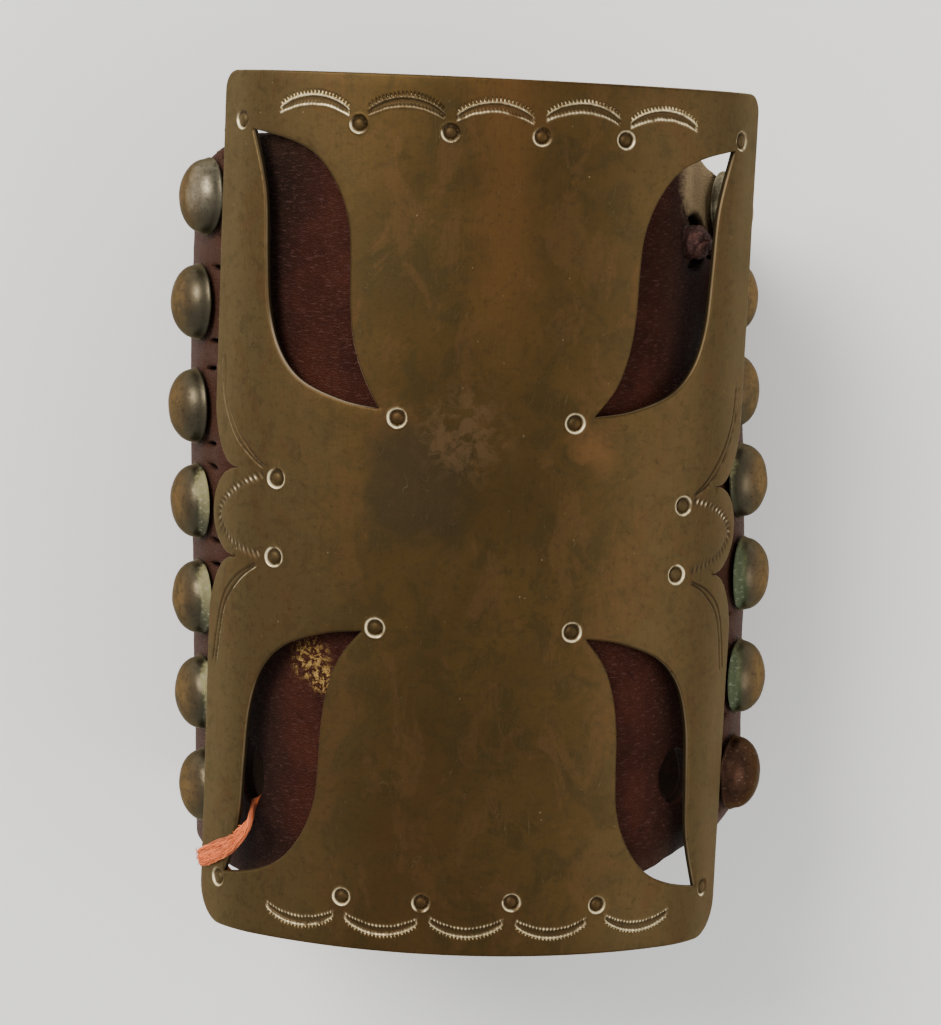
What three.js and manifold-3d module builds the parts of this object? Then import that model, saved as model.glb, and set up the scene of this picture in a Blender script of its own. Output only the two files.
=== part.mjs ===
// Archery bracer: a pierced, curved brass plate on a laced leather band with two rows of dome studs.
// Millimetres. X runs across the arm, Y along the arm, Z up; the band rests on z = 0 with the plate on top.
import * as THREE from 'three';
import { mergeVertices } from 'three/addons/utils/BufferGeometryUtils.js';
import Module from 'manifold-3d';

const wasm = await Module();
wasm.setup();

// Driving sizes
const GAP = 0.3;                      // air left between neighbouring pieces
const PLATE_LENGTH = 108;
const PLATE_HALF_ARC = 38.2;          // from the crown to the long edge, along the bend
const PLATE_THICKNESS = 0.8;
const PLATE_SKEW = -1.3;              // degrees; the plate sits slightly askew on the band
const PLATE_UPPER_CORNER = 2.4;       // radii of the rounded corners
const PLATE_LOWER_CORNER = 4.8;
const CORNER_POINTS = 6;
const PLATE_STEPS = 24;
const LEATHER_THICKNESS = 2.2;
const LEATHER_STEPS = 52;
const ROW_SHARES = [0, 0.4, 0.75, 0.93, 1];   // rows of points from the middle of the band to its ends
const CUT_REACH = 4;                  // how far a cutter passes the faces it cuts

// Half sections from the crown outwards: arcs turn by `turn` degrees, straight runs have a `length`.
const PLATE_SECTION = [
  { radius: 53, turn: 29.5 },         // crown
  { radius: 16, turn: 27.5 },         // shoulder
  { length: 12 },                     // side strip, cut off at the long edge
];
const LEATHER_SECTION = [
  { radius: 40, turn: 50 },           // under the plate
  { radius: 31.45, turn: 40 },        // side, carries the studs
  { radius: 22, turn: 90 },           // lower corner
  { length: 6 },                      // flat where it rests
  { radius: 12, turn: 27 },           // lifts towards the seam
  { length: 3.6 },                    // edge of the seam
];

// Half heights of the band along Y at distance s from the crown, one column for each corner.
const LEATHER_OUTLINE = [
  { s: 0, upperLeft: 47, upperRight: 47, lowerLeft: 47, lowerRight: 47 },
  { s: 24, upperLeft: 47, upperRight: 46.9, lowerLeft: 47, lowerRight: 45.0 },
  { s: 30, upperLeft: 46.9, upperRight: 46.3, lowerLeft: 47.2, lowerRight: 43.8 },
  { s: 34, upperLeft: 46.7, upperRight: 45.1, lowerLeft: 47.5, lowerRight: 43.4 },
  { s: 38, upperLeft: 46.1, upperRight: 43.3, lowerLeft: 47.4, lowerRight: 43.2 },
  { s: 43, upperLeft: 44.4, upperRight: 41.7, lowerLeft: 47, lowerRight: 43.2 },
  { s: 48, upperLeft: 42.4, upperRight: 41.3, lowerLeft: 46.7, lowerRight: 43.4 },
  { s: 56, upperLeft: 40.8, upperRight: 40.6, lowerLeft: 46.5, lowerRight: 44.2 },
  { s: 70, upperLeft: 40, upperRight: 40, lowerLeft: 46.8, lowerRight: 45.6 },
  { s: 120, upperLeft: 40, upperRight: 40, lowerLeft: 46.5, lowerRight: 46 },
];

// The sides of the band are pressed in by these amounts at distance y along the arm.
const LEATHER_INSET = [
  { y: -50, left: 1.7, right: 6.0 },
  { y: -43.4, left: 1.6, right: 2.6 },
  { y: -40.2, left: 1.5, right: 0.3 },
  { y: -36, left: 1.4, right: 0.1 },
  { y: -24, left: 1.1, right: 0.4 },
  { y: -9, left: 0.8, right: 0.5 },
  { y: 4, left: 0.5, right: 0.9 },
  { y: 15, left: 0.3, right: 1.8 },
  { y: 27, left: 0.4, right: 2.6 },
  { y: 39, left: 0.8, right: 3.4 },
  { y: 50, left: 1.2, right: 4.4 },
];
const INSET_TURNS = { begin: 30, full: 58, fade: 100, end: 170 };   // degrees round from the crown

// One leaf opening as distances from the plate's two centre lines, tip to tip.
const LEAF_TIP_IN = { u: 13.6, v: 13.8 };
const LEAF_TIP_OUT = { u: 32.2, v: 46.8 };
const LEAF_OUTER_EDGE = [
  { u: 18.3, v: 14.5 }, { u: 23.8, v: 16.6 }, { u: 27.0, v: 20.1 }, { u: 28.7, v: 25.3 },
  { u: 29.3, v: 32.0 }, { u: 29.7, v: 38.4 }, { u: 30.6, v: 42.4 },
];
const LEAF_INNER_EDGE = [
  { u: 16.2, v: 17.2 }, { u: 17.7, v: 21.3 }, { u: 18.4, v: 26.0 }, { u: 18.6, v: 31.5 },
  { u: 19.0, v: 36.0 }, { u: 20.6, v: 40.3 }, { u: 23.4, v: 43.8 }, { u: 27.2, v: 45.7 },
];
const LEAF_POINTS = 20;
const LEAVES = [
  { side: -1, end: 1, inward: 0.5, wider: 0.7 }, { side: 1, end: 1, inward: -0.2, wider: 0 },
  { side: -1, end: -1, inward: -0.6, wider: 0 }, { side: 1, end: -1, inward: -0.5, wider: 0 },
];

// Scalloped long edge: two notches with a round lobe between them, and shoulders back to the straight edge.
const SCALLOP = { centre: -0.7, notchU: 32.6, notchV: 5.6, lobeU: 38.0, shoulderV: 16, shoulderBulge: 0.9 };
const SCALLOP_POINTS = 8;

// Hidden posts soldered to the back of the plate, clenched inside the band.
const POST = { v: 26, radius: 1.5, headRadius: 2.8, headThickness: 0.8, sides: 14 };

// Dome studs: distance from the crown round the band, and place along the arm.
const STUD = {
  radius: 5, height: 3.8, rim: 0.5, domeSteps: 4, sides: 14,
  shank: 0.9, head: 1.8, headThickness: 0.6,
};
const STUDS = [
  { name: 'stud_left_1', side: -1, s: 43.3, y: 39.0 }, { name: 'stud_right_1', side: 1, s: 41.6, y: 38.7 },
  { name: 'stud_left_2', side: -1, s: 45.2, y: 25.5 }, { name: 'stud_right_2', side: 1, s: 42.6, y: 27.7 },
  { name: 'stud_left_3', side: -1, s: 46.0, y: 12.0 }, { name: 'stud_right_3', side: 1, s: 42.0, y: 15.6 },
  { name: 'stud_left_4', side: -1, s: 45.6, y: -0.4 }, { name: 'stud_right_4', side: 1, s: 44.0, y: 3.7 },
  { name: 'stud_left_5', side: -1, s: 45.3, y: -13.0 }, { name: 'stud_right_5', side: 1, s: 45.4, y: -8.8 },
  { name: 'stud_left_6', side: -1, s: 44.7, y: -25.6 }, { name: 'stud_right_6', side: 1, s: 44.6, y: -22.4 },
  { name: 'stud_left_7', side: -1, s: 43.6, y: -37.8 }, { name: 'stud_right_7', side: 1, s: 42.8, y: -35.0 },
];

// Tie holes through the band; `across` runs round the arm and `along` runs up it.
const TIE_HOLES = {
  upperLeft: { s: -32.0, y: 34.7, across: 5.2, along: 5.8 },
  upperRight: { s: 32.0, y: 34.7, across: 6.8, along: 6.8 },
  lowerLeft: { s: -32.1, y: -34.1, across: 4.4, along: 7.8 },
  lowerRight: { s: 28.9, y: -33.2, across: 5.8, along: 7.0 },
};
const HOLE_SIDES = 16;
const SMALL_HOLE_SIDES = 8;
const KNOT = { radius: 2.1, sink: 0.6, neck: 1.2, head: 3.7, headThickness: 1.2, ballSteps: 3, sides: 14 };

const TIE = { radius: 0.6, sides: 8, steps: 36 };
// The tie's route: out of the lower left hole, over the plate's strip and back behind it.
// `out` is the height of its middle over the outer face of what it lies on.
const TIE_ROUTE = [
  { on: 'band', across: -23.2, along: -30.6, out: -3.1 },
  { on: 'band', across: -28.4, along: -34.2, out: -3.1 },
  { on: 'band', across: -31.3, along: -35.6, out: -1.4 },
  { on: 'band', across: -31.4, along: -36.4, out: 0.4 },
  { on: 'plate', across: -28.6, along: -38.4, out: -0.6 },
  { on: 'plate', across: -28.9, along: -40.4, out: 0.9 },
  { on: 'plate', across: -30.6, along: -42.4, out: 1.1 },
  { on: 'plate', across: -33.0, along: -44.0, out: 0.9 },
  { on: 'plate', across: -36.6, along: -45.6, out: 0.9 },
  { on: 'plate', across: -38.7, along: -46.2, out: 0.5 },
  { on: 'plate', across: -39.1, along: -46.3, out: -0.5 },
  { on: 'plate', across: -38.3, along: -46.4, out: -1.9 },
  { on: 'plate', across: -35.0, along: -47.0, out: -1.9 },
  { on: 'plate', across: -31.5, along: -48.2, out: -1.9 },
];
const LACE = {
  radius: 0.55, holeRadius: 1.2, pitch: 10.5, turns: 5, stagger: 0.25,
  edge: 2.2, arch: 1.3, dip: 0.85, slant: 1, sides: 5, steps: 84,
};

const FINISH = {
  brass: { color: 0x6f562b, roughness: 0.42, metalness: 0.9 },
  stud: { color: 0x8b7346, roughness: 0.38, metalness: 0.9 },
  leather: { color: 0x3c2321, roughness: 0.75, metalness: 0 },
  knot: { color: 0x5a312a, roughness: 0.8, metalness: 0 },
  tie: { color: 0xc9794f, roughness: 0.95, metalness: 0 },
  lace: { color: 0x3a281d, roughness: 0.85, metalness: 0 },
};

const rad = THREE.MathUtils.degToRad;
const rowLength = (row) => row.length ?? row.radius * rad(row.turn);
const sectionLength = (rows) => rows.reduce((sum, row) => sum + rowLength(row), 0);

// Walks a half section for the distance s; `a` is the turn of the outward normal from straight up.
function walk(rows, s) {
  let x = 0, z = 0, a = 0, left = Math.abs(s);
  for (const [i, row] of rows.entries()) {
    const step = i === rows.length - 1 ? left : Math.min(left, rowLength(row));
    if (row.length !== undefined) {
      x += step * Math.cos(a);
      z -= step * Math.sin(a);
    } else {
      const b = a + step / row.radius;
      x += row.radius * (Math.sin(b) - Math.sin(a));
      z += row.radius * (Math.cos(b) - Math.cos(a));
      a = b;
    }
    left -= step;
    if (left <= 0) break;
  }
  return { x, z, a };
}

// Point at distance s round a section, y along the arm and w outwards from its outer face.
function bent(rows, crown, s, y, w) {
  const { x, z, a } = walk(rows, s);
  const side = Math.sign(s);
  return new THREE.Vector3(side * (x + w * Math.sin(a)), y, crown + z + w * Math.cos(a));
}

const RESTING_ROWS = LEATHER_SECTION.slice(0, 4);
const LEATHER_CROWN = -walk(RESTING_ROWS, sectionLength(RESTING_ROWS)).z;
const PLATE_CROWN = LEATHER_CROWN + GAP + PLATE_THICKNESS;
const LEATHER_HALF_ARC = sectionLength(LEATHER_SECTION);

// Value of a named column between the rows of a table, in order of its key column.
function between(rows, key, at, column) {
  const next = Math.max(1, rows.findIndex((row) => row[key] >= at));
  const [a, b] = [rows[next - 1], rows[next]];
  return THREE.MathUtils.mapLinear(at, a[key], b[key], a[column], b[column]);
}

function onLeather(s, y, w) {
  const point = bent(LEATHER_SECTION, LEATHER_CROWN, s, y, w);
  const turn = THREE.MathUtils.radToDeg(walk(LEATHER_SECTION, s).a);
  const { begin, full, fade, end } = INSET_TURNS;
  const { smoothstep } = THREE.MathUtils;
  const share = smoothstep(turn, begin, full) * (1 - smoothstep(turn, fade, end));
  point.x -= Math.sign(s) * share * between(LEATHER_INSET, 'y', y, s < 0 ? 'left' : 'right');
  return point;
}

const onPlate = (u, v, w) => bent(PLATE_SECTION, PLATE_CROWN, u, v, w);
const plateGroup = new THREE.Group();
plateGroup.rotation.z = rad(PLATE_SKEW);
plateGroup.updateMatrix();
const onSkewedPlate = (u, v, w) => onPlate(u, v, w).applyMatrix4(plateGroup.matrix);

// Closed geometry to a solid and back, for cutting and joining.
function solid(geometry) {
  geometry.deleteAttribute('normal');
  geometry.deleteAttribute('uv');
  const welded = mergeVertices(geometry, 1e-4);
  return new wasm.Manifold(new wasm.Mesh({
    numProp: 3,
    vertProperties: new Float32Array(welded.attributes.position.array),
    triVerts: new Uint32Array(welded.index.array),
  }));
}

function geometryOf(manifold) {
  const mesh = manifold.getMesh();
  const geometry = new THREE.BufferGeometry();
  geometry.setAttribute('position', new THREE.BufferAttribute(new Float32Array(mesh.vertProperties), 3));
  geometry.setIndex(new THREE.BufferAttribute(new Uint32Array(mesh.triVerts), 1));
  geometry.computeVertexNormals();
  return geometry;
}

function remap(geometry, place) {
  const p = geometry.attributes.position;
  for (let i = 0; i < p.count; i++) {
    const q = place(p.getX(i), p.getY(i), p.getZ(i));
    p.setXYZ(i, q.x, q.y, q.z);
  }
  return geometry;
}

function piece(name, geometry, finish) {
  const mesh = new THREE.Mesh(geometry, new THREE.MeshStandardMaterial(FINISH[finish]));
  mesh.name = name;
  return mesh;
}

// A flat shape in the unrolled plate, pushed through it and bent with it.
function plateCutter(shape) {
  const depth = 2 * CUT_REACH + PLATE_THICKNESS;
  const prism = new THREE.ExtrudeGeometry(shape, { depth, bevelEnabled: false, steps: 1 });
  return solid(remap(prism, (u, v, w) => onPlate(u, v, w - PLATE_THICKNESS - CUT_REACH)));
}

// Matrix that stands a part, drawn upright along its own Y, on the band at s, y and height w.
function standOnLeather(s, y, w) {
  const across = onLeather(s + 1, y, 0).sub(onLeather(s - 1, y, 0));
  const along = onLeather(s, y + 1, 0).sub(onLeather(s, y - 1, 0));
  const normal = across.cross(along).normalize();
  const turn = new THREE.Quaternion().setFromUnitVectors(new THREE.Vector3(0, 1, 0), normal);
  const foot = onLeather(s, y, 0).addScaledVector(normal, w);
  return new THREE.Matrix4().compose(foot, turn, new THREE.Vector3(1, 1, 1));
}

function placed(mesh, matrix) {
  matrix.decompose(mesh.position, mesh.quaternion, mesh.scale);
  return mesh;
}

// Face plate: a bent slab, less its leaves, scallops and corners, plus its posts
function leafShape({ side, end, inward, wider }) {
  const point = ({ u, v }) => new THREE.Vector2(side * (u - inward), end * v);
  const inner = LEAF_INNER_EDGE.map(({ u, v }) => ({ u: u - wider, v })).reverse();
  const outward = new THREE.SplineCurve([LEAF_TIP_IN, ...LEAF_OUTER_EDGE, LEAF_TIP_OUT].map(point));
  const back = new THREE.SplineCurve([LEAF_TIP_OUT, ...inner, LEAF_TIP_IN].map(point));
  const loop = [...outward.getPoints(LEAF_POINTS), ...back.getPoints(LEAF_POINTS).slice(1, -1)];
  return new THREE.Shape(loop);
}

function scallopShape(side) {
  const { centre, notchU, notchV, lobeU, shoulderV, shoulderBulge } = SCALLOP;
  const edge = [];
  for (let i = 0; i <= SCALLOP_POINTS; i++) {
    const t = Math.PI / 2 * i / SCALLOP_POINTS;
    const u = notchU + (PLATE_HALF_ARC + GAP - notchU) * Math.sin(t) ** shoulderBulge;
    edge.push(new THREE.Vector2(u, notchV + (shoulderV - notchV) * (1 - Math.cos(t))));
  }
  const upper = edge.toReversed();
  const lobe = [];
  for (let i = 1; i < 2 * SCALLOP_POINTS; i++) {
    const t = Math.PI * (i / (2 * SCALLOP_POINTS));
    lobe.push(new THREE.Vector2(notchU + (lobeU - notchU) * Math.sin(t), notchV * Math.cos(t)));
  }
  const lower = edge.map((p) => new THREE.Vector2(p.x, -p.y));
  const outside = PLATE_HALF_ARC + CUT_REACH;
  const back = [new THREE.Vector2(outside, -shoulderV), new THREE.Vector2(outside, shoulderV)];
  return new THREE.Shape([...upper, ...lobe, ...lower, ...back]
    .map((p) => new THREE.Vector2(side * p.x, p.y + centre)));
}

function cornerShape(side, end) {
  const r = end > 0 ? PLATE_UPPER_CORNER : PLATE_LOWER_CORNER;
  const u = PLATE_HALF_ARC - r, v = PLATE_LENGTH / 2 - r;
  const out = r + CUT_REACH;
  const round = new THREE.EllipseCurve(u, v, r, r, 0, Math.PI / 2).getPoints(CORNER_POINTS);
  const far = [{ x: u, y: v + out }, { x: u + out, y: v + out }, { x: u + out, y: v }];
  return new THREE.Shape([...round, ...far].map(({ x, y }) => new THREE.Vector2(side * x, end * y)));
}

function post(end) {
  const top = LEATHER_CROWN + GAP + PLATE_THICKNESS / 2;
  const inside = LEATHER_CROWN - LEATHER_THICKNESS - GAP;
  const bottom = inside - POST.headThickness;
  const profile = [[0, bottom], [POST.headRadius, bottom], [POST.headRadius, inside],
    [POST.radius, inside], [POST.radius, top], [0, top]];
  const lathe = new THREE.LatheGeometry(profile.map(([r, h]) => new THREE.Vector2(r, h)), POST.sides);
  lathe.rotateX(Math.PI / 2);
  lathe.translate(0, end * POST.v, 0);
  return solid(lathe);
}

function facePlate() {
  const slab = new THREE.BoxGeometry(2 * PLATE_HALF_ARC, PLATE_LENGTH, PLATE_THICKNESS, PLATE_STEPS, 1, 1);
  let plate = solid(remap(slab, (u, v, w) => onPlate(u, v, w - PLATE_THICKNESS / 2)));
  for (const leaf of LEAVES) plate = plate.subtract(plateCutter(leafShape(leaf)));
  for (const side of [-1, 1]) {
    plate = plate.subtract(plateCutter(scallopShape(side)));
    for (const end of [-1, 1]) plate = plate.subtract(plateCutter(cornerShape(side, end)));
  }
  for (const end of [-1, 1]) plate = plate.add(post(end));
  return piece('face_plate', geometryOf(plate), 'brass');
}

// Leather band: a bent slab with its own outline, punched for ties, studs, posts and lace
function outlineAt(s, end) {
  const corner = (end > 0 ? 'upper' : 'lower') + (s < 0 ? 'Left' : 'Right');
  return between(LEATHER_OUTLINE, 's', Math.abs(s), corner);
}

function punch(s, y, across, along, sides = HOLE_SIDES) {
  const tool = new THREE.CylinderGeometry(0.5, 0.5, LEATHER_THICKNESS + 2 * CUT_REACH, sides);
  tool.scale(across, 1, along);
  tool.applyMatrix4(standOnLeather(s, y, -LEATHER_THICKNESS / 2));
  return solid(tool);
}

const LACE_S = LEATHER_HALF_ARC - LACE.edge;
const laceY = (side, turn) => (turn + side * LACE.stagger - (LACE.turns - 1) / 2) * LACE.pitch;

function leatherBand() {
  const rows = ROW_SHARES.length - 1;
  const slab = new THREE.BoxGeometry(2, 2 * rows, 1, LEATHER_STEPS, 2 * rows, 1);
  let band = solid(remap(slab, (a, b, c) => {
    const s = a * LEATHER_HALF_ARC;
    const y = Math.sign(b) * ROW_SHARES[Math.round(Math.abs(b))] * outlineAt(s, b);
    return onLeather(s, y, (c - 0.5) * LEATHER_THICKNESS);
  }));
  for (const { s, y, across, along } of Object.values(TIE_HOLES)) {
    band = band.subtract(punch(s, y, across, along));
  }
  const shankHole = 2 * (STUD.shank + GAP);
  for (const { side, s, y } of STUDS) {
    band = band.subtract(punch(side * s, y, shankHole, shankHole, SMALL_HOLE_SIDES));
  }
  const postHole = 2 * (POST.radius + GAP);
  for (const end of [-1, 1]) {
    const foot = onSkewedPlate(0, end * POST.v, 0);
    band = band.subtract(punch(foot.x, foot.y, postHole, postHole, POST.sides));
  }
  const laceHole = 2 * LACE.holeRadius;
  for (let turn = 0; turn < LACE.turns; turn++) {
    for (const side of [-1, 1]) {
      const tool = punch(side * LACE_S, laceY(side, turn), laceHole, laceHole, SMALL_HOLE_SIDES);
      band = band.subtract(tool);
    }
  }
  return piece('leather_band', geometryOf(band), 'leather');
}

// Dome studs: a shallow rim, a dome and a clenched shank
function stud({ name, side, s, y }) {
  const inside = -LEATHER_THICKNESS - 2 * GAP;
  const dome = [];
  for (let i = 1; i < STUD.domeSteps; i++) {
    const t = Math.PI / 2 * i / STUD.domeSteps;
    dome.push([STUD.radius * Math.cos(t), STUD.rim + (STUD.height - STUD.rim) * Math.sin(t)]);
  }
  dome.push([0, STUD.height]);
  const bottom = inside - STUD.headThickness;
  const profile = [[0, bottom], [STUD.head, bottom], [STUD.head, inside], [STUD.shank, inside],
    [STUD.shank, 0], [STUD.radius, 0], [STUD.radius, STUD.rim], ...dome];
  const lathe = new THREE.LatheGeometry(profile.map(([r, h]) => new THREE.Vector2(r, h)), STUD.sides);
  return placed(piece(name, lathe, 'stud'), standOnLeather(side * s, y, GAP));
}

// Knot in the upper right tie hole, held by its flat tail inside the band
function thongKnot() {
  const { s, y } = TIE_HOLES.upperRight;
  const inside = -LEATHER_THICKNESS - 2 * GAP;
  const ball = [];
  for (let i = 1 - KNOT.ballSteps; i < KNOT.ballSteps; i++) {
    const t = Math.PI / 2 * i / KNOT.ballSteps;
    ball.push([KNOT.radius * Math.cos(t), -KNOT.sink + KNOT.radius * Math.sin(t)]);
  }
  ball.push([0, KNOT.radius - KNOT.sink]);
  const profile = [[0, inside - KNOT.headThickness], [KNOT.head, inside - KNOT.headThickness],
    [KNOT.head, inside], [KNOT.neck, inside], ...ball];
  const lathe = new THREE.LatheGeometry(profile.map(([r, h]) => new THREE.Vector2(r, h)), KNOT.sides);
  return placed(piece('thong_knot', lathe, 'knot'), standOnLeather(s, y, 0));
}

function cord(name, points, { radius, sides, steps }, finish) {
  const ring = new THREE.Shape(new THREE.EllipseCurve(0, 0, radius, radius).getPoints(sides).slice(0, -1));
  const path = new THREE.CatmullRomCurve3(points, false, 'centripetal');
  const tube = new THREE.ExtrudeGeometry(ring, { steps, bevelEnabled: false, extrudePath: path });
  return piece(name, geometryOf(solid(tube)), finish);
}

// Tie: from inside the band out of the lower left hole, over the plate's strip and round behind its edge
function orangeTie() {
  const surface = { band: onLeather, plate: onSkewedPlate };
  const points = TIE_ROUTE.map(({ on, across, along, out }) => surface[on](across, along, out));
  return cord('orange_tie', points, TIE, 'tie');
}

// Lace: whipped through both edges of the seam, crossing below outside and arching over the edges inside
function backLace() {
  const off = LACE.radius + GAP;
  const inner = -LEATHER_THICKNESS - off;
  const points = [];
  for (let turn = 0; turn < LACE.turns; turn++) {
    const [left, right] = [laceY(-1, turn), laceY(1, turn)];
    const over = (side, y) => onLeather(side * LEATHER_HALF_ARC, y, inner - LACE.arch);
    const under = (side, y) => onLeather(side * LACE_S, y, LACE.dip);
    const middle = under(-1, left).lerp(under(1, right), 0.5);
    points.push(over(-1, left - LACE.slant), onLeather(-LACE_S, left, inner), under(-1, left), middle);
    points.push(under(1, right), onLeather(LACE_S, right, inner), over(1, right + LACE.slant));
  }
  return cord('back_lace', points, LACE, 'lace');
}

const bracer = new THREE.Group();
bracer.name = 'archery_bracer';
plateGroup.add(facePlate());
bracer.add(leatherBand(), plateGroup, ...STUDS.map(stud), thongKnot(), orangeTie(), backLace());
export default bracer;
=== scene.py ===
# %% [markdown]
# # An archery bracer, dressed for its picture
# A bow guard is worn on the forearm that holds the bow. This one is a curved brass plate, pierced with
# four leaves and decorated with hand stamps, on a leather band with a row of dome studs along each side.
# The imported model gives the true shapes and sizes. This lesson lays finer pieces over it: stamped metal,
# grained leather, frayed yarn.

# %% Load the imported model
import math
import random

import bpy
import numpy as np
from mathutils import Matrix, Vector, noise
from mathutils.geometry import delaunay_2d_cdt
from mathutils.kdtree import KDTree


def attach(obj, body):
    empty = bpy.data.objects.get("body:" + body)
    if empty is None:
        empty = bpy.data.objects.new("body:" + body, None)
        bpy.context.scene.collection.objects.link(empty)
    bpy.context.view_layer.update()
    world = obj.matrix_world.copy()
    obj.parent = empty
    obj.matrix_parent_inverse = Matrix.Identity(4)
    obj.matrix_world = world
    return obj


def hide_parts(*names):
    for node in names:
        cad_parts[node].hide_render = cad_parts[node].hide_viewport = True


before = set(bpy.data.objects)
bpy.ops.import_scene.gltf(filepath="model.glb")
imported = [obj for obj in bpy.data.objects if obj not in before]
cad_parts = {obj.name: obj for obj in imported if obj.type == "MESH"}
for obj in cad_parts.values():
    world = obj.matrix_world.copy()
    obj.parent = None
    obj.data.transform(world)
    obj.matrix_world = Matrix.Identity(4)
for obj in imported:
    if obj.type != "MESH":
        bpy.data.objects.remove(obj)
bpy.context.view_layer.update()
MM = 0.001
print("nodes in the frame:", len(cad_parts))

# %% [markdown]
# ## Camera
# The picture was taken from almost straight above the plate, a little towards its upper end and a little
# to the left. A camera can be aimed by hand, but three small turns about the crown of the plate repeat
# the view exactly. The lens is long, so the far side of the band hardly shrinks.

# %% Place the camera
PHOTO_WIDTH_PX = 941
FOCAL_PX = 2629.0
AXIS_OFFSET_PX = (9.4, 14.7)          # where the lens looks, right of and below the middle of the picture
CAMERA_DISTANCE = 320.0
AIM_HEIGHT = 57.8
CAMERA_TURNS = (("Z", -1.30), ("X", 7.59), ("Y", 2.48))

to_camera = Matrix.Identity(3)
for axis, degrees in CAMERA_TURNS:
    to_camera = to_camera @ Matrix.Rotation(math.radians(degrees), 3, axis)
from_camera = to_camera.transposed()
camera_data = bpy.data.cameras.new("bracer_camera")
camera_data.sensor_fit = "HORIZONTAL"
camera_data.sensor_width = 36.0
camera_data.lens = FOCAL_PX / PHOTO_WIDTH_PX * camera_data.sensor_width
camera_data.shift_x = -AXIS_OFFSET_PX[0] / PHOTO_WIDTH_PX
camera_data.shift_y = AXIS_OFFSET_PX[1] / PHOTO_WIDTH_PX
camera_data.clip_start = 0.01
camera = bpy.data.objects.new("bracer_camera", camera_data)
bpy.context.scene.collection.objects.link(camera)
eye = Vector((0, 0, AIM_HEIGHT)) + from_camera @ Vector((0, 0, CAMERA_DISTANCE))
camera.matrix_world = Matrix.Translation(eye * MM) @ from_camera.to_4x4()
bpy.context.scene.camera = camera
print("camera at", [round(x, 1) for x in eye], "mm, lens", round(camera_data.lens, 1))

# %% [markdown]
# ## Light and floor
# Old brass shows what surrounds it. A bright pale room gives it an even sheen, and two large soft lamps
# give the domes their highlights. Many small lamps would sparkle, so there are only a few, and they are
# wide.

# %% Build the studio
LAMP_COLOR = (1.0, 0.97, 0.93)
CENTRE = (0.0, 0.0, 0.04)
FLOOR_HALF = 3.0
world = bpy.data.worlds.new("pale_room")
world.use_nodes = True
world.node_tree.nodes["Background"].inputs["Color"].default_value = (1.0, 1.0, 1.0, 1.0)
world.node_tree.nodes["Background"].inputs["Strength"].default_value = 0.8
bpy.context.scene.world = world


def soft_lamp(name, place, aim, size, watts):
    lamp = bpy.data.lights.new(name, "AREA")
    lamp.shape = "DISK"
    lamp.size = size
    lamp.energy = watts
    lamp.color = LAMP_COLOR
    holder = bpy.data.objects.new(name, lamp)
    holder.location = place
    holder.rotation_euler = (Vector(aim) - Vector(place)).to_track_quat("-Z", "Y").to_euler()
    bpy.context.scene.collection.objects.link(holder)


soft_lamp("key_lamp", (-0.45, 0.45, 0.7), CENTRE, 0.5, 9.5)
soft_lamp("fill_lamp", (0.6, -0.1, 0.6), CENTRE, 0.6, 2.5)

floor_mesh = bpy.data.meshes.new("studio_floor")
corners = ((-1, -1), (1, -1), (1, 1), (-1, 1))
floor_mesh.from_pydata([(x * FLOOR_HALF, y * FLOOR_HALF, 0.0) for x, y in corners], [], [(0, 1, 2, 3)])
floor = bpy.data.objects.new("studio_floor", floor_mesh)
bpy.context.scene.collection.objects.link(floor)
print("lamps: 2, floor", 2 * FLOOR_HALF, "m wide")

# %% [markdown]
# ## Writing shader maths
# A material is a tree of nodes. Dozens of Math nodes are hard to read, so a small class wraps one socket:
# adding or multiplying two wrapped sockets adds the Math node that does it. Every other node comes from
# one method.


# %% A socket that can be added and multiplied
class Wire:
    def __init__(self, tree, socket=None):
        self.tree = tree
        self.socket = socket

    def node(self, kind, settings=None, sockets=None, out=0):
        made = self.tree.nodes.new("ShaderNode" + kind)
        for name, value in (settings or {}).items():
            setattr(made, name, value)
        for name, value in (sockets or {}).items():
            if isinstance(value, Wire):
                self.tree.links.new(value.socket, made.inputs[name])
            else:
                made.inputs[name].default_value = value
        return Wire(self.tree, made.outputs[out])

    def math(self, operation, *values):
        return self.node("Math", {"operation": operation}, dict(enumerate(values)))

    def __add__(self, other):
        return self.math("ADD", self, other)

    __radd__ = __add__

    def __mul__(self, other):
        return self.math("MULTIPLY", self, other)

    __rmul__ = __mul__

    def __sub__(self, other):
        return self.math("SUBTRACT", self, other)

    def __rsub__(self, other):
        return self.math("SUBTRACT", other, self)

    def __abs__(self):
        return self.math("ABSOLUTE", self)

    def rise(self, low, high):
        limits = {"Value": self, "From Min": low, "From Max": high}
        return self.node("MapRange", {"interpolation_type": "SMOOTHSTEP"}, limits)

    def tint(self, first, second):
        color = [c if isinstance(c, Wire) else (*c, 1.0) for c in (first, second)]
        return self.node("Mix", {"data_type": "RGBA"}, {0: self, 6: color[0], 7: color[1]}, out=2)

    def stretched(self, x, y, z=1.0):
        return self.node("VectorMath", {"operation": "MULTIPLY"}, {0: self, 1: (x, y, z)})

    def part(self, axis):
        return self.node("SeparateXYZ", None, {0: self}, out="XYZ".index(axis))

    def cloud(self, scale, detail=3.0, roughness=0.5, warp=0.0):
        values = {"Vector": self, "Scale": scale, "Detail": detail}
        values.update({"Roughness": roughness, "Distortion": warp})
        return self.node("TexNoise", None, values)

    def cells(self, scale, feature="F1"):
        return self.node("TexVoronoi", {"feature": feature}, {"Vector": self, "Scale": scale})


def new_finish(name):
    material = bpy.data.materials.new(name)
    material.use_nodes = True
    return material, Wire(material.node_tree), material.node_tree.nodes["Principled BSDF"]


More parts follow.
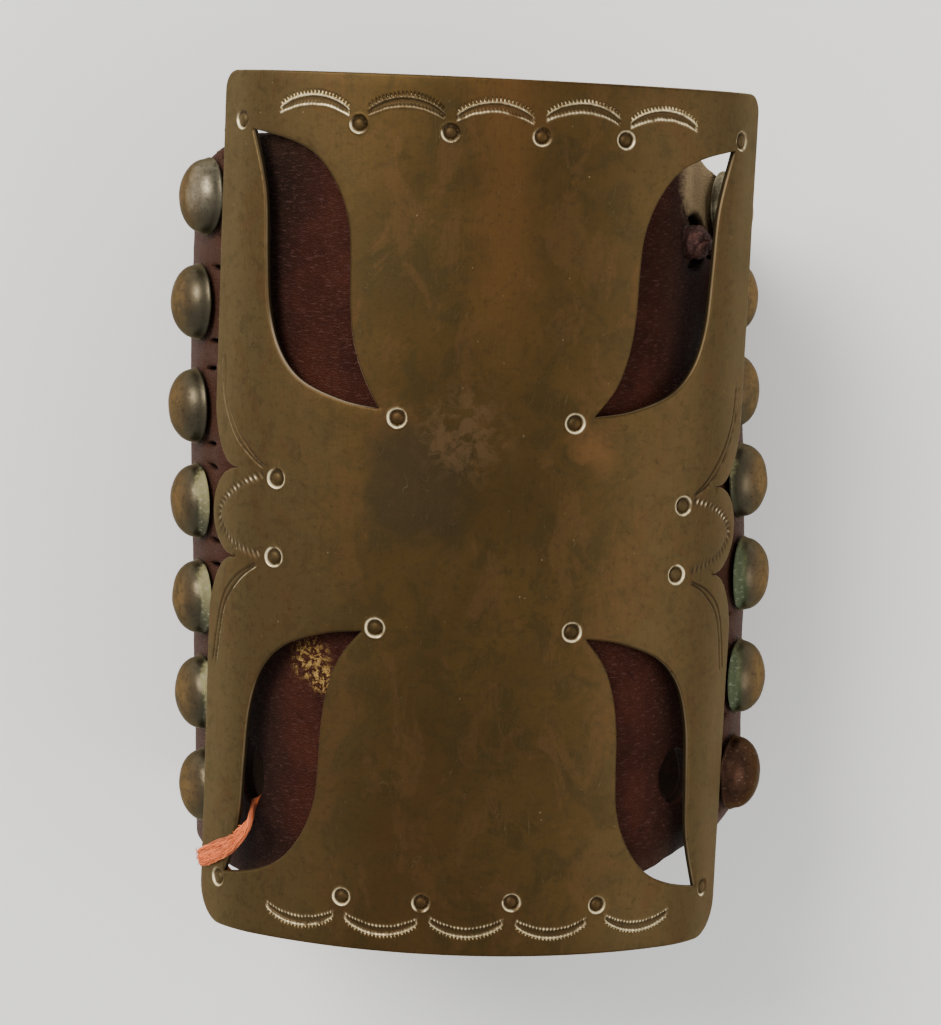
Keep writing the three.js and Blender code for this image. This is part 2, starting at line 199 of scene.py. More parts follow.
def plug(shader, **sockets):
    for name, value in sockets.items():
        socket = shader.inputs[name.replace("_", " ")]
        if isinstance(value, Wire):
            value.tree.links.new(value.socket, socket)
        else:
            socket.default_value = value


def layered(tone, *coats):
    for mask, color in coats:
        tone = mask.tint(tone, color)
    return tone


def measured(wire, name):
    return wire.node("Attribute", {"attribute_name": name}, None, out=2)


def unrolled(wire):
    return wire.node("Attribute", {"attribute_name": "flat"}, None, out=1)


def relief(wire, height, distance, strength=1.0):
    return wire.node("Bump", None, {"Height": height, "Distance": distance, "Strength": strength})


floor_finish, wire, shader = new_finish("floor_paper")
paper = wire.node("TexCoord", None, None, out=3).cloud(4.0)
plug(shader, Base_Color=paper.tint((0.91, 0.91, 0.9), (0.94, 0.94, 0.93)), Roughness=0.9)
floor_mesh.materials.append(floor_finish)
print("floor finish ready")

# %% [markdown]
# ## Bending flat work
# Both the plate and the band were cut flat and then bent. They are drawn the same way here: every point
# has a place across the arm, a place along it and a height over the outer face, and one function bends it
# round the section.

# %% Sections of the plate and the band
PLATE_SECTION = (("arc", 53.0, 29.5), ("arc", 16.0, 27.5), ("run", 12.0, 0.0))
BAND_SECTION = (("arc", 40.0, 50.0), ("arc", 31.45, 40.0), ("arc", 22.0, 90.0), ("run", 6.0, 0.0),
                ("arc", 12.0, 27.0), ("run", 3.6, 0.0))
PLATE_SKEW = -1.3
PLATE_THICKNESS = 0.8
BAND_THICKNESS = 2.2
BAND_CROWN = 56.5
PLATE_CROWN = 57.6
BAND_INSET_Y = (-50, -43.4, -40.2, -36, -24, -9, 4, 15, 27, 39, 50)
BAND_INSET_LEFT = (1.7, 1.6, 1.5, 1.4, 1.1, 0.8, 0.5, 0.3, 0.4, 0.8, 1.2)
BAND_INSET_RIGHT = (6.0, 2.6, 0.3, 0.1, 0.4, 0.5, 0.9, 1.8, 2.6, 3.4, 4.4)


def step_length(kind, size, turn):
    return size if kind == "run" else size * math.radians(turn)


def walk(section, s):
    far = np.abs(s)
    x, z, a = np.zeros_like(far), np.zeros_like(far), np.zeros_like(far)
    start = 0.0
    for kind, size, turn in section:
        length = step_length(kind, size, turn)
        step = np.clip(far - start, 0.0, length)
        if kind == "run":
            x = x + step * np.cos(a)
            z = z - step * np.sin(a)
        else:
            b = a + step / size
            x = x + size * (np.sin(b) - np.sin(a))
            z = z + size * (np.cos(b) - np.cos(a))
            a = b
        start += length
    return x, z, a


def bend(section, crown, s, y, w):
    s, y, w = np.broadcast_arrays(*(np.asarray(v, float) for v in (s, y, w)))
    x, z, a = walk(section, s)
    return np.stack([np.sign(s) * (x + w * np.sin(a)), y, crown + z + w * np.cos(a)], -1), a


def soft_step(value, low, high):
    t = np.clip((value - low) / (high - low), 0.0, 1.0)
    return t * t * (3 - 2 * t)


def on_band(s, y, w):
    points, a = bend(BAND_SECTION, BAND_CROWN, s, y, w)
    turn = np.degrees(a)
    share = soft_step(turn, 30, 58) * (1 - soft_step(turn, 100, 170))
    left = np.interp(points[..., 1], BAND_INSET_Y, BAND_INSET_LEFT)
    right = np.interp(points[..., 1], BAND_INSET_Y, BAND_INSET_RIGHT)
    points[..., 0] -= np.where(np.asarray(s) < 0, -left, right) * share
    return points


def on_plate(u, v, w):
    points, _ = bend(PLATE_SECTION, PLATE_CROWN, u, v, w)
    skew = math.radians(PLATE_SKEW)
    x, y = points[..., 0].copy(), points[..., 1].copy()
    points[..., 0] = x * math.cos(skew) - y * math.sin(skew)
    points[..., 1] = x * math.sin(skew) + y * math.cos(skew)
    return points


BAND_HALF_ARC = sum(step_length(*row) for row in BAND_SECTION)
print("band length round the arm:", round(2 * BAND_HALF_ARC, 1), "mm")

# %% [markdown]
# ## Cutting sheets
# A pierced plate could be cut with Boolean modifiers, but those leave long thin triangles that shade
# badly. A constrained Delaunay triangulation takes the outline, the holes and any cloud of inner points,
# and fills them with even triangles, so there can be many points where a stamp needs them and few
# elsewhere.


# %% Outline tools
def spline(points, per_span):
    p = np.asarray(points, float)
    p = np.vstack([p[:1], p, p[-1:]])
    t = np.linspace(0, 1, per_span, endpoint=False)[:, None]
    spans = []
    for a, b, c, d in zip(p, p[1:], p[2:], p[3:]):
        go, come = (c - a) / 2, (d - b) / 2
        cubic, square = 2 * b - 2 * c + go + come, 3 * c - 3 * b - 2 * go - come
        spans.append(cubic * t**3 + square * t**2 + go * t + b)
    return np.vstack(spans + [p[-1:]])


def refined(loop, step):
    ends = np.roll(loop, -1, 0)
    out = []
    for a, b in zip(loop, ends):
        pieces = max(1, math.ceil(np.linalg.norm(b - a) / step))
        out.append(a + (b - a) * np.linspace(0, 1, pieces, endpoint=False)[:, None])
    return np.vstack(out)


def turned(loop, anticlockwise):
    x, y = loop[:, 0], loop[:, 1]
    area = np.sum(x * np.roll(y, -1) - y * np.roll(x, -1))
    return loop if (area > 0) == anticlockwise else loop[::-1]


def inside(points, loops):
    odd = np.zeros(len(points), bool)
    px, py = points[:, 0], points[:, 1]
    for loop in loops:
        for (ax, ay), (bx, by) in zip(loop, np.roll(loop, -1, 0)):
            if ay != by:
                crosses = (ay > py) != (by > py)
                odd ^= crosses & (px < (bx - ax) * (py - ay) / (by - ay) + ax)
    return odd


def distances(points, border):
    tree = KDTree(len(border))
    for i, (x, y) in enumerate(border):
        tree.insert((x, y, 0.0), i)
    tree.balance()
    return np.array([tree.find((x, y, 0.0))[2] for x, y in points])


print("outline tools ready")

# %% [markdown]
# Filling is the second half. Rows of points just inside the border let an edge be rounded, and the back
# gets fewer points than the front. Values such as the place in the flat sheet are stored on the points
# for the finishes.


# %% Fill a sheet and make a piece
def edge_rows(loops, offsets):
    rows = []
    for loop in loops:
        along = np.roll(loop, -1, 0) - np.roll(loop, 1, 0)
        along /= np.linalg.norm(along, axis=1)[:, None] + 1e-9
        inward = np.stack([-along[:, 1], along[:, 0]], 1)
        rows += [loop + inward * offset for offset in offsets]
    return np.vstack(rows)


def fill(loops, points, clear):
    border = np.vstack(loops)
    points = points[inside(points, loops)]
    points = points[distances(points, border) > clear]
    links, start = [], 0
    for loop in loops:
        links += [(start + i, start + (i + 1) % len(loop)) for i in range(len(loop))]
        start += len(loop)
    flat = [Vector(p) for p in np.vstack([border, points])]
    verts, _, faces, *_ = delaunay_2d_cdt(flat, links, [], 0, 1e-7, False)
    verts = np.array([v[:] for v in verts])
    faces = np.array([f[:] for f in faces])
    on_border = (faces < start).all(1)
    middles = verts[faces].mean(1)
    keep = ~on_border
    keep[on_border] = inside(middles[on_border], loops)
    return verts, faces[keep], links


def hex_grid(low, high, step):
    xs = np.arange(low[0], high[0], step)
    ys = np.arange(low[1], high[1], step * 0.866)
    return np.array([(x + (j % 2) * step / 2, y) for j, y in enumerate(ys) for x in xs])


def sheet_mesh(name, loops, front_points, back_points, clear, front_place, back_place):
    front, front_faces, links = fill(loops, front_points, clear)
    back, back_faces, _ = fill(loops, back_points, clear)
    n = len(front)
    places = np.vstack([front_place(front), back_place(back)]) * MM
    faces = [tuple(f) for f in front_faces] + [tuple(f[::-1] + n) for f in back_faces]
    faces += [(a, a + n, b + n, b) for a, b in links]
    mesh = bpy.data.meshes.new(name)
    mesh.from_pydata(places.tolist(), [], [tuple(int(i) for i in f) for f in faces])
    store(mesh, "flat", np.column_stack([np.vstack([front, back]), np.zeros(n + len(back))]))
    return mesh, front, back


def store(mesh, name, values):
    values = np.asarray(values, np.float32)
    vector = values.ndim == 2
    attribute = mesh.attributes.new(name, "FLOAT_VECTOR" if vector else "FLOAT", "POINT")
    attribute.data.foreach_set("vector" if vector else "value", values.ravel())


def piece(name, mesh, finish, slot, *nodes, sharp=40):
    mesh.polygons.foreach_set("use_smooth", [True] * len(mesh.polygons))
    mesh.set_sharp_from_angle(angle=math.radians(sharp))
    mesh.materials.append(finish)
    made = bpy.data.objects.new(name, mesh)
    bpy.context.scene.collection.objects.link(made)
    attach(made, "root")
    if nodes:
        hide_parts(*nodes)
    triangles = sum(len(p.vertices) - 2 for p in mesh.polygons)
    print(name, "has", triangles, "triangles")
    return made


print("sheet tools ready")

# %% [markdown]
# ## The plate's outline
# The long sides have a round lobe between two notches, and four leaves are sawn out so that the plate
# reads as a broad cross. The leaf is one shape, mirrored into the corners; the hand-cut one at the upper
# left sits closer in.

# %% Outline and leaves
PLATE_HALF_LENGTH = 54.0
PLATE_HALF_ARC = 38.2
UPPER_CORNER, LOWER_CORNER = 2.4, 4.8
LEAF_TIP_IN, LEAF_TIP_OUT = (13.6, 13.8), (32.2, 46.8)
LEAF_OUTER = ((18.3, 14.5), (23.8, 16.6), (27.0, 20.1), (28.7, 25.3),
              (29.3, 32.0), (29.7, 38.4), (30.6, 42.4))
LEAF_INNER = ((16.2, 17.2), (17.7, 21.3), (18.4, 26.0), (18.6, 31.5),
              (19.0, 36.0), (20.6, 40.3), (23.4, 43.8), (27.2, 45.7))
# side, end, shift towards the middle, extra width
LEAVES = ((-1, 1, 0.5, 0.7), (1, 1, -0.2, 0.0), (-1, -1, -0.6, 0.0), (1, -1, -0.5, 0.0))
NOTCH_U, NOTCH_V, LOBE_U, SHOULDER_V, LOBE_CENTRE = 32.6, 5.6, 38.0, 16.0, -0.7
EDGE_STEP = 0.4


def leaf_loop(side, end, inward, wider):
    inner = [(u - wider, v) for u, v in LEAF_INNER[::-1]]
    out = spline((LEAF_TIP_IN, *LEAF_OUTER, LEAF_TIP_OUT), 12)
    back = spline((LEAF_TIP_OUT, *inner, LEAF_TIP_IN), 12)
    loop = (np.vstack([out, back[1:-1]]) - (inward, 0.0)) * (side, end)
    return refined(turned(loop, False), EDGE_STEP)


def scalloped_side():
    t = np.linspace(0, math.pi / 2, 24)
    shoulder_u = NOTCH_U + (PLATE_HALF_ARC - NOTCH_U) * np.minimum(1, 1.05 * np.sin(t) ** 0.9)
    shoulder_v = NOTCH_V + (SHOULDER_V - NOTCH_V) * (1 - np.cos(t))
    shoulder = np.stack([shoulder_u, shoulder_v], 1)
    t = np.linspace(math.pi, 0, 40)[1:-1]
    lobe = np.stack([NOTCH_U + (LOBE_U - NOTCH_U) * np.sin(t), NOTCH_V * np.cos(t)], 1)
    return np.vstack([shoulder[::-1] * (1, -1), lobe, shoulder]) + (0.0, LOBE_CENTRE)


def plate_outline():
    def corner(end, radius):
        t = np.linspace(0, math.pi / 2, 10)
        u = PLATE_HALF_ARC - radius + radius * np.cos(t)
        v = PLATE_HALF_LENGTH - radius + radius * np.sin(t)
        return np.stack([u, end * v], 1)

    right = np.vstack([corner(-1, LOWER_CORNER)[::-1], scalloped_side(), corner(1, UPPER_CORNER)])
    left = right[::-1] * (-1, 1)
    return refined(turned(np.vstack([right, left]), True), EDGE_STEP)


plate_loops = [plate_outline()] + [leaf_loop(*leaf) for leaf in LEAVES]
print("plate border points:", sum(len(loop) for loop in plate_loops))

# %% [markdown]
# ## Hand stamps
# A stamp is a small steel punch struck with a hammer. Three were used here: a ring with a round boss in
# it, a crescent with a row of teeth like eyelashes, and a short rope-like edge punch that was walked
# along a curve. The double lines beside the notches were drawn with a graver. Bump alone would not show
# the sunken crescents from the side, so the plate gets real points there.

# %% Where the stamps are struck
# across, along, radius, how much of the rim is bright all round; the rest of the rim only has a painted glint
# on its lower left
RINGS = ((-33.8, 48.0, 1.17, 0.6), (33.6, 48.1, 1.17, 0.8), (-33.8, -47.8, 1.17, 0.7),
         (34.5, -47.2, 1.1, 0.2), (-10.7, 12.8, 1.17, 0.9), (11.2, 13.0, 1.17, 0.9),
         (-12.4, -13.2, 1.17, 1.0), (12.1, -12.8, 1.17, 0.9), (-26.2, 4.2, 1.17, 0.9),
         (26.7, 2.8, 1.17, 0.9), (-26.2, -5.6, 1.17, 1.0), (26.2, -5.9, 1.17, 1.0),
         (-16.9, 47.9, 1.08, 0.35), (-5.6, 47.35, 1.08, 0.5), (5.4, 47.3, 1.08, 0.6),
         (15.9, 47.4, 1.08, 0.9), (-15.3, -47.4, 1.08, 0.9), (-5.2, -47.4, 1.08, 0.7),
         (6.1, -47.0, 1.08, 0.9), (17.3, -47.6, 1.08, 0.8))
# across, along, which end it points to, shine
CRESCENTS = ((-22.8, 48.9, 1, 1.0), (-11.1, 49.0, 1, 0.5), (-0.3, 48.8, 1, 0.75), (10.4, 49.2, 1, 0.8),
             (21.0, 48.9, 1, 0.95), (-20.9, -49.4, -1, 0.95), (-10.2, -49.5, -1, 0.95),
             (0.5, -49.2, -1, 0.9), (11.3, -49.3, -1, 0.95), (23.1, -49.0, -1, 1.0))
CRESCENT_HALF, CRESCENT_END, CRESCENT_RISE, CRESCENT_INNER = 4.6, 0.65, 1.7, 1.25
TOOTH_PITCH, TOOTH_LENGTH = 0.47, 0.66
ROPES = (((-27.9, 4.6), (-30.6, 3.6), (-34.3, 1.4), (-36.3, -1.2),
          (-34.2, -3.9), (-30.8, -5.2), (-28.0, -5.5)),
         ((28.2, 3.4), (31.0, 2.8), (34.6, 1.0), (36.3, -1.2), (34.6, -3.3), (31.0, -4.9), (28.2, -5.6)))
LINES = (((-36.5, 19.0), (-35.7, 13.8), (-33.2, 9.7), (-30.2, 7.0), (-27.9, 5.4)),
         ((-28.6, -6.7), (-32.0, -9.0), (-34.8, -12.8), (-36.4, -20.4)),
         ((36.4, 17.5), (35.6, 12.6), (33.0, 8.2), (30.4, 5.4), (28.2, 3.9)),
         ((28.4, -6.9), (31.6, -8.6), (34.6, -12.0), (36.3, -19.0)))
# whether the line is drawn from the ring outwards, shine
LINE_LOOKS = ((False, 0.28), (True, 0.85), (False, 0.35), (True, 0.35))
FINE = 0.12                           # spacing of the points under a stamp


def patch(u0, u1, v0, v1):
    u, v = np.meshgrid(np.arange(u0, u1, FINE), np.arange(v0, v1, FINE))
    return np.stack([u.ravel(), v.ravel()], 1)


def beside(curve, points):
    best = np.full(len(points), 1e9)
    side, run = np.zeros(len(points)), np.zeros(len(points))
    start = 0.0
    for a, b in zip(curve, curve[1:]):
        along = b - a
        length = np.linalg.norm(along)
        along /= length
        rel = points - a
        t = np.clip(rel @ along, 0, length)
        gap = np.linalg.norm(rel - t[:, None] * along, axis=1)
        near = gap < best
        best[near] = gap[near]
        side[near] = np.sign(rel @ (-along[1], along[0]))[near]
        run[near] = (start + t)[near]
        start += length
    return best * side, run, start


rope_curves = [spline(rope, 10) for rope in ROPES]
line_curves = [spline(line, 10) for line in LINES]
stamp_points = [patch(u - 1.6, u + 1.6, v - 1.6, v + 1.6) for u, v, *_ in RINGS]
for u, v, end, _ in CRESCENTS:
    low, high = sorted((v - end * 0.5, v + end * 3.4))
    stamp_points.append(patch(u - 5.2, u + 5.2, low, high))
for curve in rope_curves + line_curves:
    (u0, v0), (u1, v1) = curve.min(0) - 1, curve.max(0) + 1
    block = patch(u0, u1, v0, v1)
    stamp_points.append(block[np.abs(beside(curve, block)[0]) < 0.95])
stamp_points = np.vstack(stamp_points)
_, first = np.unique(np.round(stamp_points / (FINE * 0.6)).astype(int), axis=0, return_index=True)
stamp_points = stamp_points[np.sort(first)]
print("points for the stamps:", len(stamp_points))

# %% [markdown]
# The height of the metal is a sum of stamps. Each stamp also says where its metal is bright, because
# rubbing keeps the raised lips clean, and where it is dark, because dirt stays in the hollows. The rings
# also get a painted glint on the lower left of the rim and painted shade on the upper left of the groove.


# %% Depth, bright lips and dark hollows
RING_DEPTH, BOSS_HEIGHT, BED_DEPTH, LASH_DEPTH, ROPE_DEPTH, LINE_DEPTH = 0.24, 0.2, 0.26, 0.2, 0.2, 0.2
ROPE_PITCH = 0.8


def bell(value, width):
    return np.exp(-((value / width) ** 2))


def waviness(points, scale, seed):
    return np.array([noise.noise((x / scale, y / scale, seed)) for x, y in points])


def ring_stamp(points, wear, u, v, radius, shine):
    q = np.hypot(points[:, 0] - u, points[:, 1] - v) / radius + 0.07 * (wear - 0.5)
    angle = np.arctan2(points[:, 1] - v, points[:, 0] - u)
    boss = np.clip(1 - (q / 0.7) ** 2, 0, 1)
    height = -RING_DEPTH * bell(q - 0.8, 0.17) - 0.1 * (q < 0.76) + BOSS_HEIGHT * boss
    height += 0.05 * bell(q - 1.1, 0.1)
    # lit adds a painted glint on the lower left of the rim; shadow darkens the groove, most on its upper left
    # as painted shade
    lit = np.clip(shine + (1 - shine) * 1.3 * np.cos(angle + 2.2), 0, 1) * soft_step(wear, -0.25, 0.5)
    shadow = bell(q - 0.74, 0.14) * (0.5 + 0.25 * np.cos(angle - 2.2)) + 0.1 * (q < 0.7)
    return height, bell(q - 1.0, 0.13) * lit, shadow


def crescent_stamp(points, wear, u, v, end, shine):
    x = (points[:, 0] - u) / CRESCENT_HALF
    t = end * (points[:, 1] - v)
    arch = np.clip(1 - x * x, 0, 1)
    slope = np.sqrt(1 + (1.6 * CRESCENT_RISE / CRESCENT_HALF * x) ** 2)
    outer = (t - CRESCENT_END - CRESCENT_RISE * arch**0.8) / slope
    inner = t - CRESCENT_INNER * arch - 0.12 * (wear - 0.5)
    beyond = (np.abs(x) - 1) * CRESCENT_HALF
    run = CRESCENT_HALF * (x + 0.1 * x**3) - 0.6 * x * np.clip(outer, 0, 1)
    tooth = soft_step(np.cos(2 * math.pi * run / TOOTH_PITCH), 0.0, 0.75)
    length = TOOTH_LENGTH if end > 0 else 0.6 * TOOTH_LENGTH
    lash = soft_step(outer, -0.05, 0.06) * (1 - soft_step(outer, length * 0.6, length)) * tooth
    bed = soft_step(-outer, 0.05, 0.3) * soft_step(inner, -0.1, 0.3)
    small = soft_step(inner, -0.02, 0.1) * (1 - soft_step(inner, 0.25, 0.42)) * tooth
    beads = 0.2 if end > 0 else 0.6
    lip = bell(outer + 0.06, 0.16) * (1 - 0.5 * beads * (1 - tooth))
    low_lip = bell(inner + 0.04, 0.2) * (1 - beads * (1 - tooth))
    cap = bell(beyond + 0.08, 0.14) * soft_step(-outer, -0.1, 0.1) * soft_step(inner, -0.1, 0.1)
    within = soft_step(-beyond, -0.12, 0.05)
    height = (0.05 * lip + 0.05 * low_lip + 0.1 * small * bed - BED_DEPTH * bed - LASH_DEPTH * lash) * within
    worn = soft_step(wear, -0.2, 0.35)
    raised = [lip * (0.45 + 0.55 * worn), 0.95 * lash, 0.95 * low_lip * worn, 0.4 * small * worn]
    lit = np.maximum(np.maximum.reduce(raised) * within, 0.7 * cap * worn)
    return height, lit * shine, 0.45 * bed * (1 - lit) * (1 - 0.6 * worn) * within


def rope_stamp(points, wear, curve):
    side, run, total = beside(curve, points)
    side = side * -np.sign(curve[0, 0])
    ends = soft_step(run, 0, 0.4) * soft_step(total - run, 0, 0.4)
    ticks = 0.5 + 0.5 * np.cos(2 * math.pi * (run + 0.35 * side) / ROPE_PITCH)
    band = bell(side, 0.46) * ends
    fade = 1 - (0.3 if curve[0, 0] < 0 else 0.75) * soft_step(run / total, 0.42, 0.6)
    lit = 0.85 * ticks**2 * bell(side - 0.1, 0.4) * ends * soft_step(wear, 0.1, 0.6)
    return band * (0.17 * ticks - ROPE_DEPTH), lit * fade, 0.7 * band * (1 - ticks)


def line_stamp(points, wear, curve, outward, shine):
    side, run, total = beside(curve, points)
    share = run / total if outward else 1 - run / total
    ends = soft_step(run, 0, 0.6) * soft_step(total - run, 0, 0.6)
    apart = 0.14 + 0.26 * soft_step(share, 0.0, 0.35)
    grooves = np.maximum(bell(side - apart, 0.11), bell(side + apart, 0.11)) * ends
    inner_lip = bell(side - np.sign(-curve[0, 0] * (1 if outward else -1)) * (apart + 0.14), 0.09) * ends
    return -LINE_DEPTH * grooves, shine * inner_lip * soft_step(wear, 0.1, 0.55), 0.8 * grooves


def strike(points):
    height, bright, dark = (np.zeros(len(points)) for _ in range(3))
    wear = 0.5 + 0.8 * waviness(points, 1.2, 4.2)
    stamps = [ring_stamp(points, wear, *ring) for ring in RINGS]
    stamps += [crescent_stamp(points, wear, *crescent) for crescent in CRESCENTS]
    stamps += [rope_stamp(points, wear, curve) for curve in rope_curves]
    stamps += [line_stamp(points, wear, curve, *look) for curve, look in zip(line_curves, LINE_LOOKS)]
    for depth, lit, sunk in stamps:
        height += depth
        bright = np.maximum(bright, lit)
        dark = np.maximum(dark, sunk)
    return height, np.clip(bright, 0, 1), np.clip(dark, 0, 1)


print("stamps:", len(RINGS) + len(CRESCENTS) + len(ROPES) + len(LINES))

# %% [markdown]
# Now the plate is cut: fine points under the stamps, rows of points along every sawn edge and a wide grid
# in the plain parts. The back stays smooth. Hammered sheet is never quite even, so the front also swells
# a little.


# %% Cut the plate
def rounded_edge(gap, radius):
    inner = np.clip(1 - gap / radius, 0, 1)
    return radius * (np.sqrt(1 - inner**2) - 1)


PLATE_GRID, PLATE_ROWS, PLATE_CLEAR, STAMP_CLEAR = 1.7, (0.09, 0.2, 0.34), 0.06, 0.5
EDGE_RADIUS = 0.3
plate_border = np.vstack(plate_loops)


def plate_front(points):
    height, _, _ = strike(points)
    gap = distances(points, plate_border)
    swell = 0.05 * waviness(points, 13.0, 1.5) + 0.02 * waviness(points, 4.5, 7.1)
    return on_plate(points[:, 0], points[:, 1], height + swell + rounded_edge(gap, EDGE_RADIUS))


def plate_back(points):
    return on_plate(points[:, 0], points[:, 1], -PLATE_THICKNESS)


plate_grid = hex_grid((-39, -55), (39, 55), PLATE_GRID)
plate_grid = plate_grid[distances(plate_grid, stamp_points) > STAMP_CLEAR]
front_points = np.vstack([stamp_points, edge_rows(plate_loops, PLATE_ROWS), plate_grid])
plate_mesh, plate_flat, plate_back_flat = sheet_mesh(
    "face_plate_metal", plate_loops, front_points, plate_grid, PLATE_CLEAR, plate_front, plate_back)
_, bright, dark = strike(plate_flat)
blank = np.zeros(len(plate_back_flat))
store(plate_mesh, "bright", np.concatenate([bright, blank]))
store(plate_mesh, "dark", np.concatenate([dark, blank]))
sawn = [np.arange(len(points)) < len(plate_border) for points in (plate_flat, plate_back_flat)]
store(plate_mesh, "sawn", np.concatenate(sawn))
front_edge = bell(distances(plate_flat, plate_border), 0.17)
store(plate_mesh, "edge", np.concatenate([front_edge, -1.0 * sawn[1]]))
print("plate surface points:", len(plate_flat))

# %% [markdown]
# ## Aged brass
# The plate has darkened to a warm brown, olive towards the sides, where the lighter colour is partly
# painted reflection, with a coppery streak down from the upper edge and a dull patch in the middle. Only
# the lips of the stamps and the sawn edges are still bright; some rings also get a painted glint on one
# side and one leaf's edges a painted highlight. Every stain is placed in the unrolled plate, in
# millimetres, so it stays put when the plate is bent.

# %% Brass finish
brass, wire, shader = new_finish("aged_brass")
flat = unrolled(wire)
across, along = flat.part("X"), flat.part("Y")
bright_lip, dirt_and_shade, edge, sawn = (measured(wire, name) for name in ("bright", "dark", "edge", "sawn"))
clouds = flat.cloud(0.055, 5.0, 0.55, 0.4)
blotch = flat.cloud(0.2, 6.0, 0.7, 0.8)
rust = flat.stretched(1.0, 0.6).cloud(0.15, 6.0, 0.7, 0.8)
crumbs = flat.cloud(1.15, 5.0, 0.75)
brushed = flat.stretched(3.2, 0.12).cloud(1.0, 4.0, 0.65)
drift = flat.cloud(0.13, 6.0, 0.65) - 0.5


def spot(flat, s, y, radius, soft, warp):
    reach = flat.node("VectorMath", {"operation": "DISTANCE"}, {0: flat, 1: (s, y, 0.0)}, out=1)
    return 1 - (reach + (warp - 0.5) * soft * 2.2).rise(radius - soft, radius + soft)


sides = abs(across + drift * 10).rise(10.0, 27.0)
streak = (1 - abs(across - 1.5 + drift * 9).rise(0.3, 6.5)) * along.rise(10.0, 34.0)
streak_low = (1 - abs(across + 6 + drift * 12).rise(1.0, 9.0)) * along.rise(-18.0, -40.0)
grey_patch = 1 - abs(across + 8 + drift * 12).rise(4.0, 8.0)
grey_patch = grey_patch * (1 - abs(along - 4 + drift * 14).rise(4.5, 9.0))
rubbed_middle = spot(flat, -2.5, 11.3, 5.0, 3.0, blotch) * flat.cloud(0.33, 6.0, 0.7, 0.4).rise(0.44, 0.56)
# where the edges of the upper left leaf get a pale painted highlight
leaf_edge_highlight = spot(flat, -23.0, 16.0, 8.5, 2.5, clouds)
tone = clouds.rise(0.3, 0.72).tint((0.05, 0.029, 0.0095), (0.07, 0.041, 0.0125))
tone = layered(
    tone,
    (blotch.rise(0.47, 0.6) * 0.6, (0.037, 0.026, 0.0095)),
    # lighter olive towards the sides, most on the left: partly olive patina, partly painted reflection
    (sides * 0.72, (0.088, 0.0585, 0.0245)),
    ((0 - across).rise(25.0, 34.0) * 0.3, (0.13, 0.094, 0.041)),
    (spot(flat, -11.0, 32.0, 6.0, 4.0, blotch) * 0.5, (0.042, 0.03, 0.012)),
    (rust.rise(0.5, 0.6) * 0.5, (0.084, 0.044, 0.0175)),
    (flat.cloud(0.45, 5.0, 0.7, 0.6).rise(0.5, 0.66) * 0.4, (0.046, 0.031, 0.013)),
    (streak * 0.6, (0.11, 0.053, 0.0165)),
    (streak_low * 0.3, (0.08, 0.039, 0.0135)),
    (grey_patch * 0.72, (0.034, 0.0245, 0.012)),
    (rubbed_middle * 0.75, (0.096, 0.056, 0.026)),
    (spot(flat, 13.6, 10.3, 2.4, 2.2, blotch) * 0.6, (0.12, 0.058, 0.022)),
    (crumbs.rise(0.5, 0.72) * 0.5, (0.032, 0.021, 0.009)),
    (brushed.rise(0.42, 0.8) * 0.14, (0.032, 0.02, 0.0085)))
print("stains mixed")

# %% [markdown]
# Small marks go over the stains: dirt in the hollows with painted shade in the ring grooves, hair scratches,
# pale specks, then the clean lips of the stamps with the rings' painted glint, the sawn edges, and the sawn
# walls painted dark as painted shade. Clean metal is smoother and dirt is not metal, so the other inputs
# follow the same masks.

# %% Marks, lips and edges
scuff = flat.stretched(0.5, 0.09).cloud(1.0, 2.0, 0.5, 1.5)
scratch = (1 - abs(scuff - 0.52).rise(0.0, 0.004)) * blotch.rise(0.5, 0.62)
specks = 1 - flat.cells(0.55).rise(0.02, 0.085)
specks = specks * flat.cloud(0.3, 2.0).rise(0.5, 0.66)
clean_lips_and_glint = bright_lip * (0.7 + 0.3 * flat.cloud(1.4, 2.0).rise(0.35, 0.6))
lip_tone = bright_lip.rise(0.35, 0.9).tint((0.27, 0.195, 0.105), (0.78, 0.68, 0.42))
tone = layered(
    tone,
    # dirt in the hollows, with painted shade on one side of the ring grooves
    (dirt_and_shade * 0.85, (0.017, 0.0105, 0.006)),
    (scratch * 0.16, (0.3, 0.22, 0.12)),
    (specks * 0.6, (0.24, 0.17, 0.09)),
    # clean lips of the stamps, with a painted glint on the lower left of the rings
    (clean_lips_and_glint.rise(0.02, 0.75), lip_tone),
    # the sawn walls of the plate are painted dark, as painted shade
    (sawn.rise(0.85, 1.0) * 0.85, (0.024, 0.0165, 0.008)),
    (edge.rise(0.6, 1.0) * (0.25 + 0.45 * clouds.rise(0.4, 0.6)), (0.26, 0.19, 0.11)),
    # painted highlight along the edges of the upper left leaf
    (edge.rise(0.45, 0.9) * leaf_edge_highlight * 0.85, (0.55, 0.43, 0.3)))
grain = brushed * 0.5 + flat.cloud(2.2, 3.0) * 0.4 + scratch * 0.3
dull = 0.34 + 0.2 * clouds + 0.14 * blotch + dirt_and_shade * 0.3 + sawn * 0.2
plug(shader, Base_Color=tone, Roughness=dull, Metallic=0.92 - dirt_and_shade * 0.5 - specks * 0.4 - clean_lips_and_glint * 0.5)
plug(shader, Normal=relief(wire, grain, 0.00004, 0.5), Specular_Tint=(0.93, 0.85, 0.68, 1.0))
piece("face_plate_metal", plate_mesh, brass, "plate_brass", "face_plate")

# %% [markdown]
# ## Turned and drawn pieces
# The studs and posts are round, so a profile spun about its axis gives them. Ties and laces are tubes
# along a path. Both are made as plain meshes, which keeps their points free for dents, crusts and loose
# fibres.


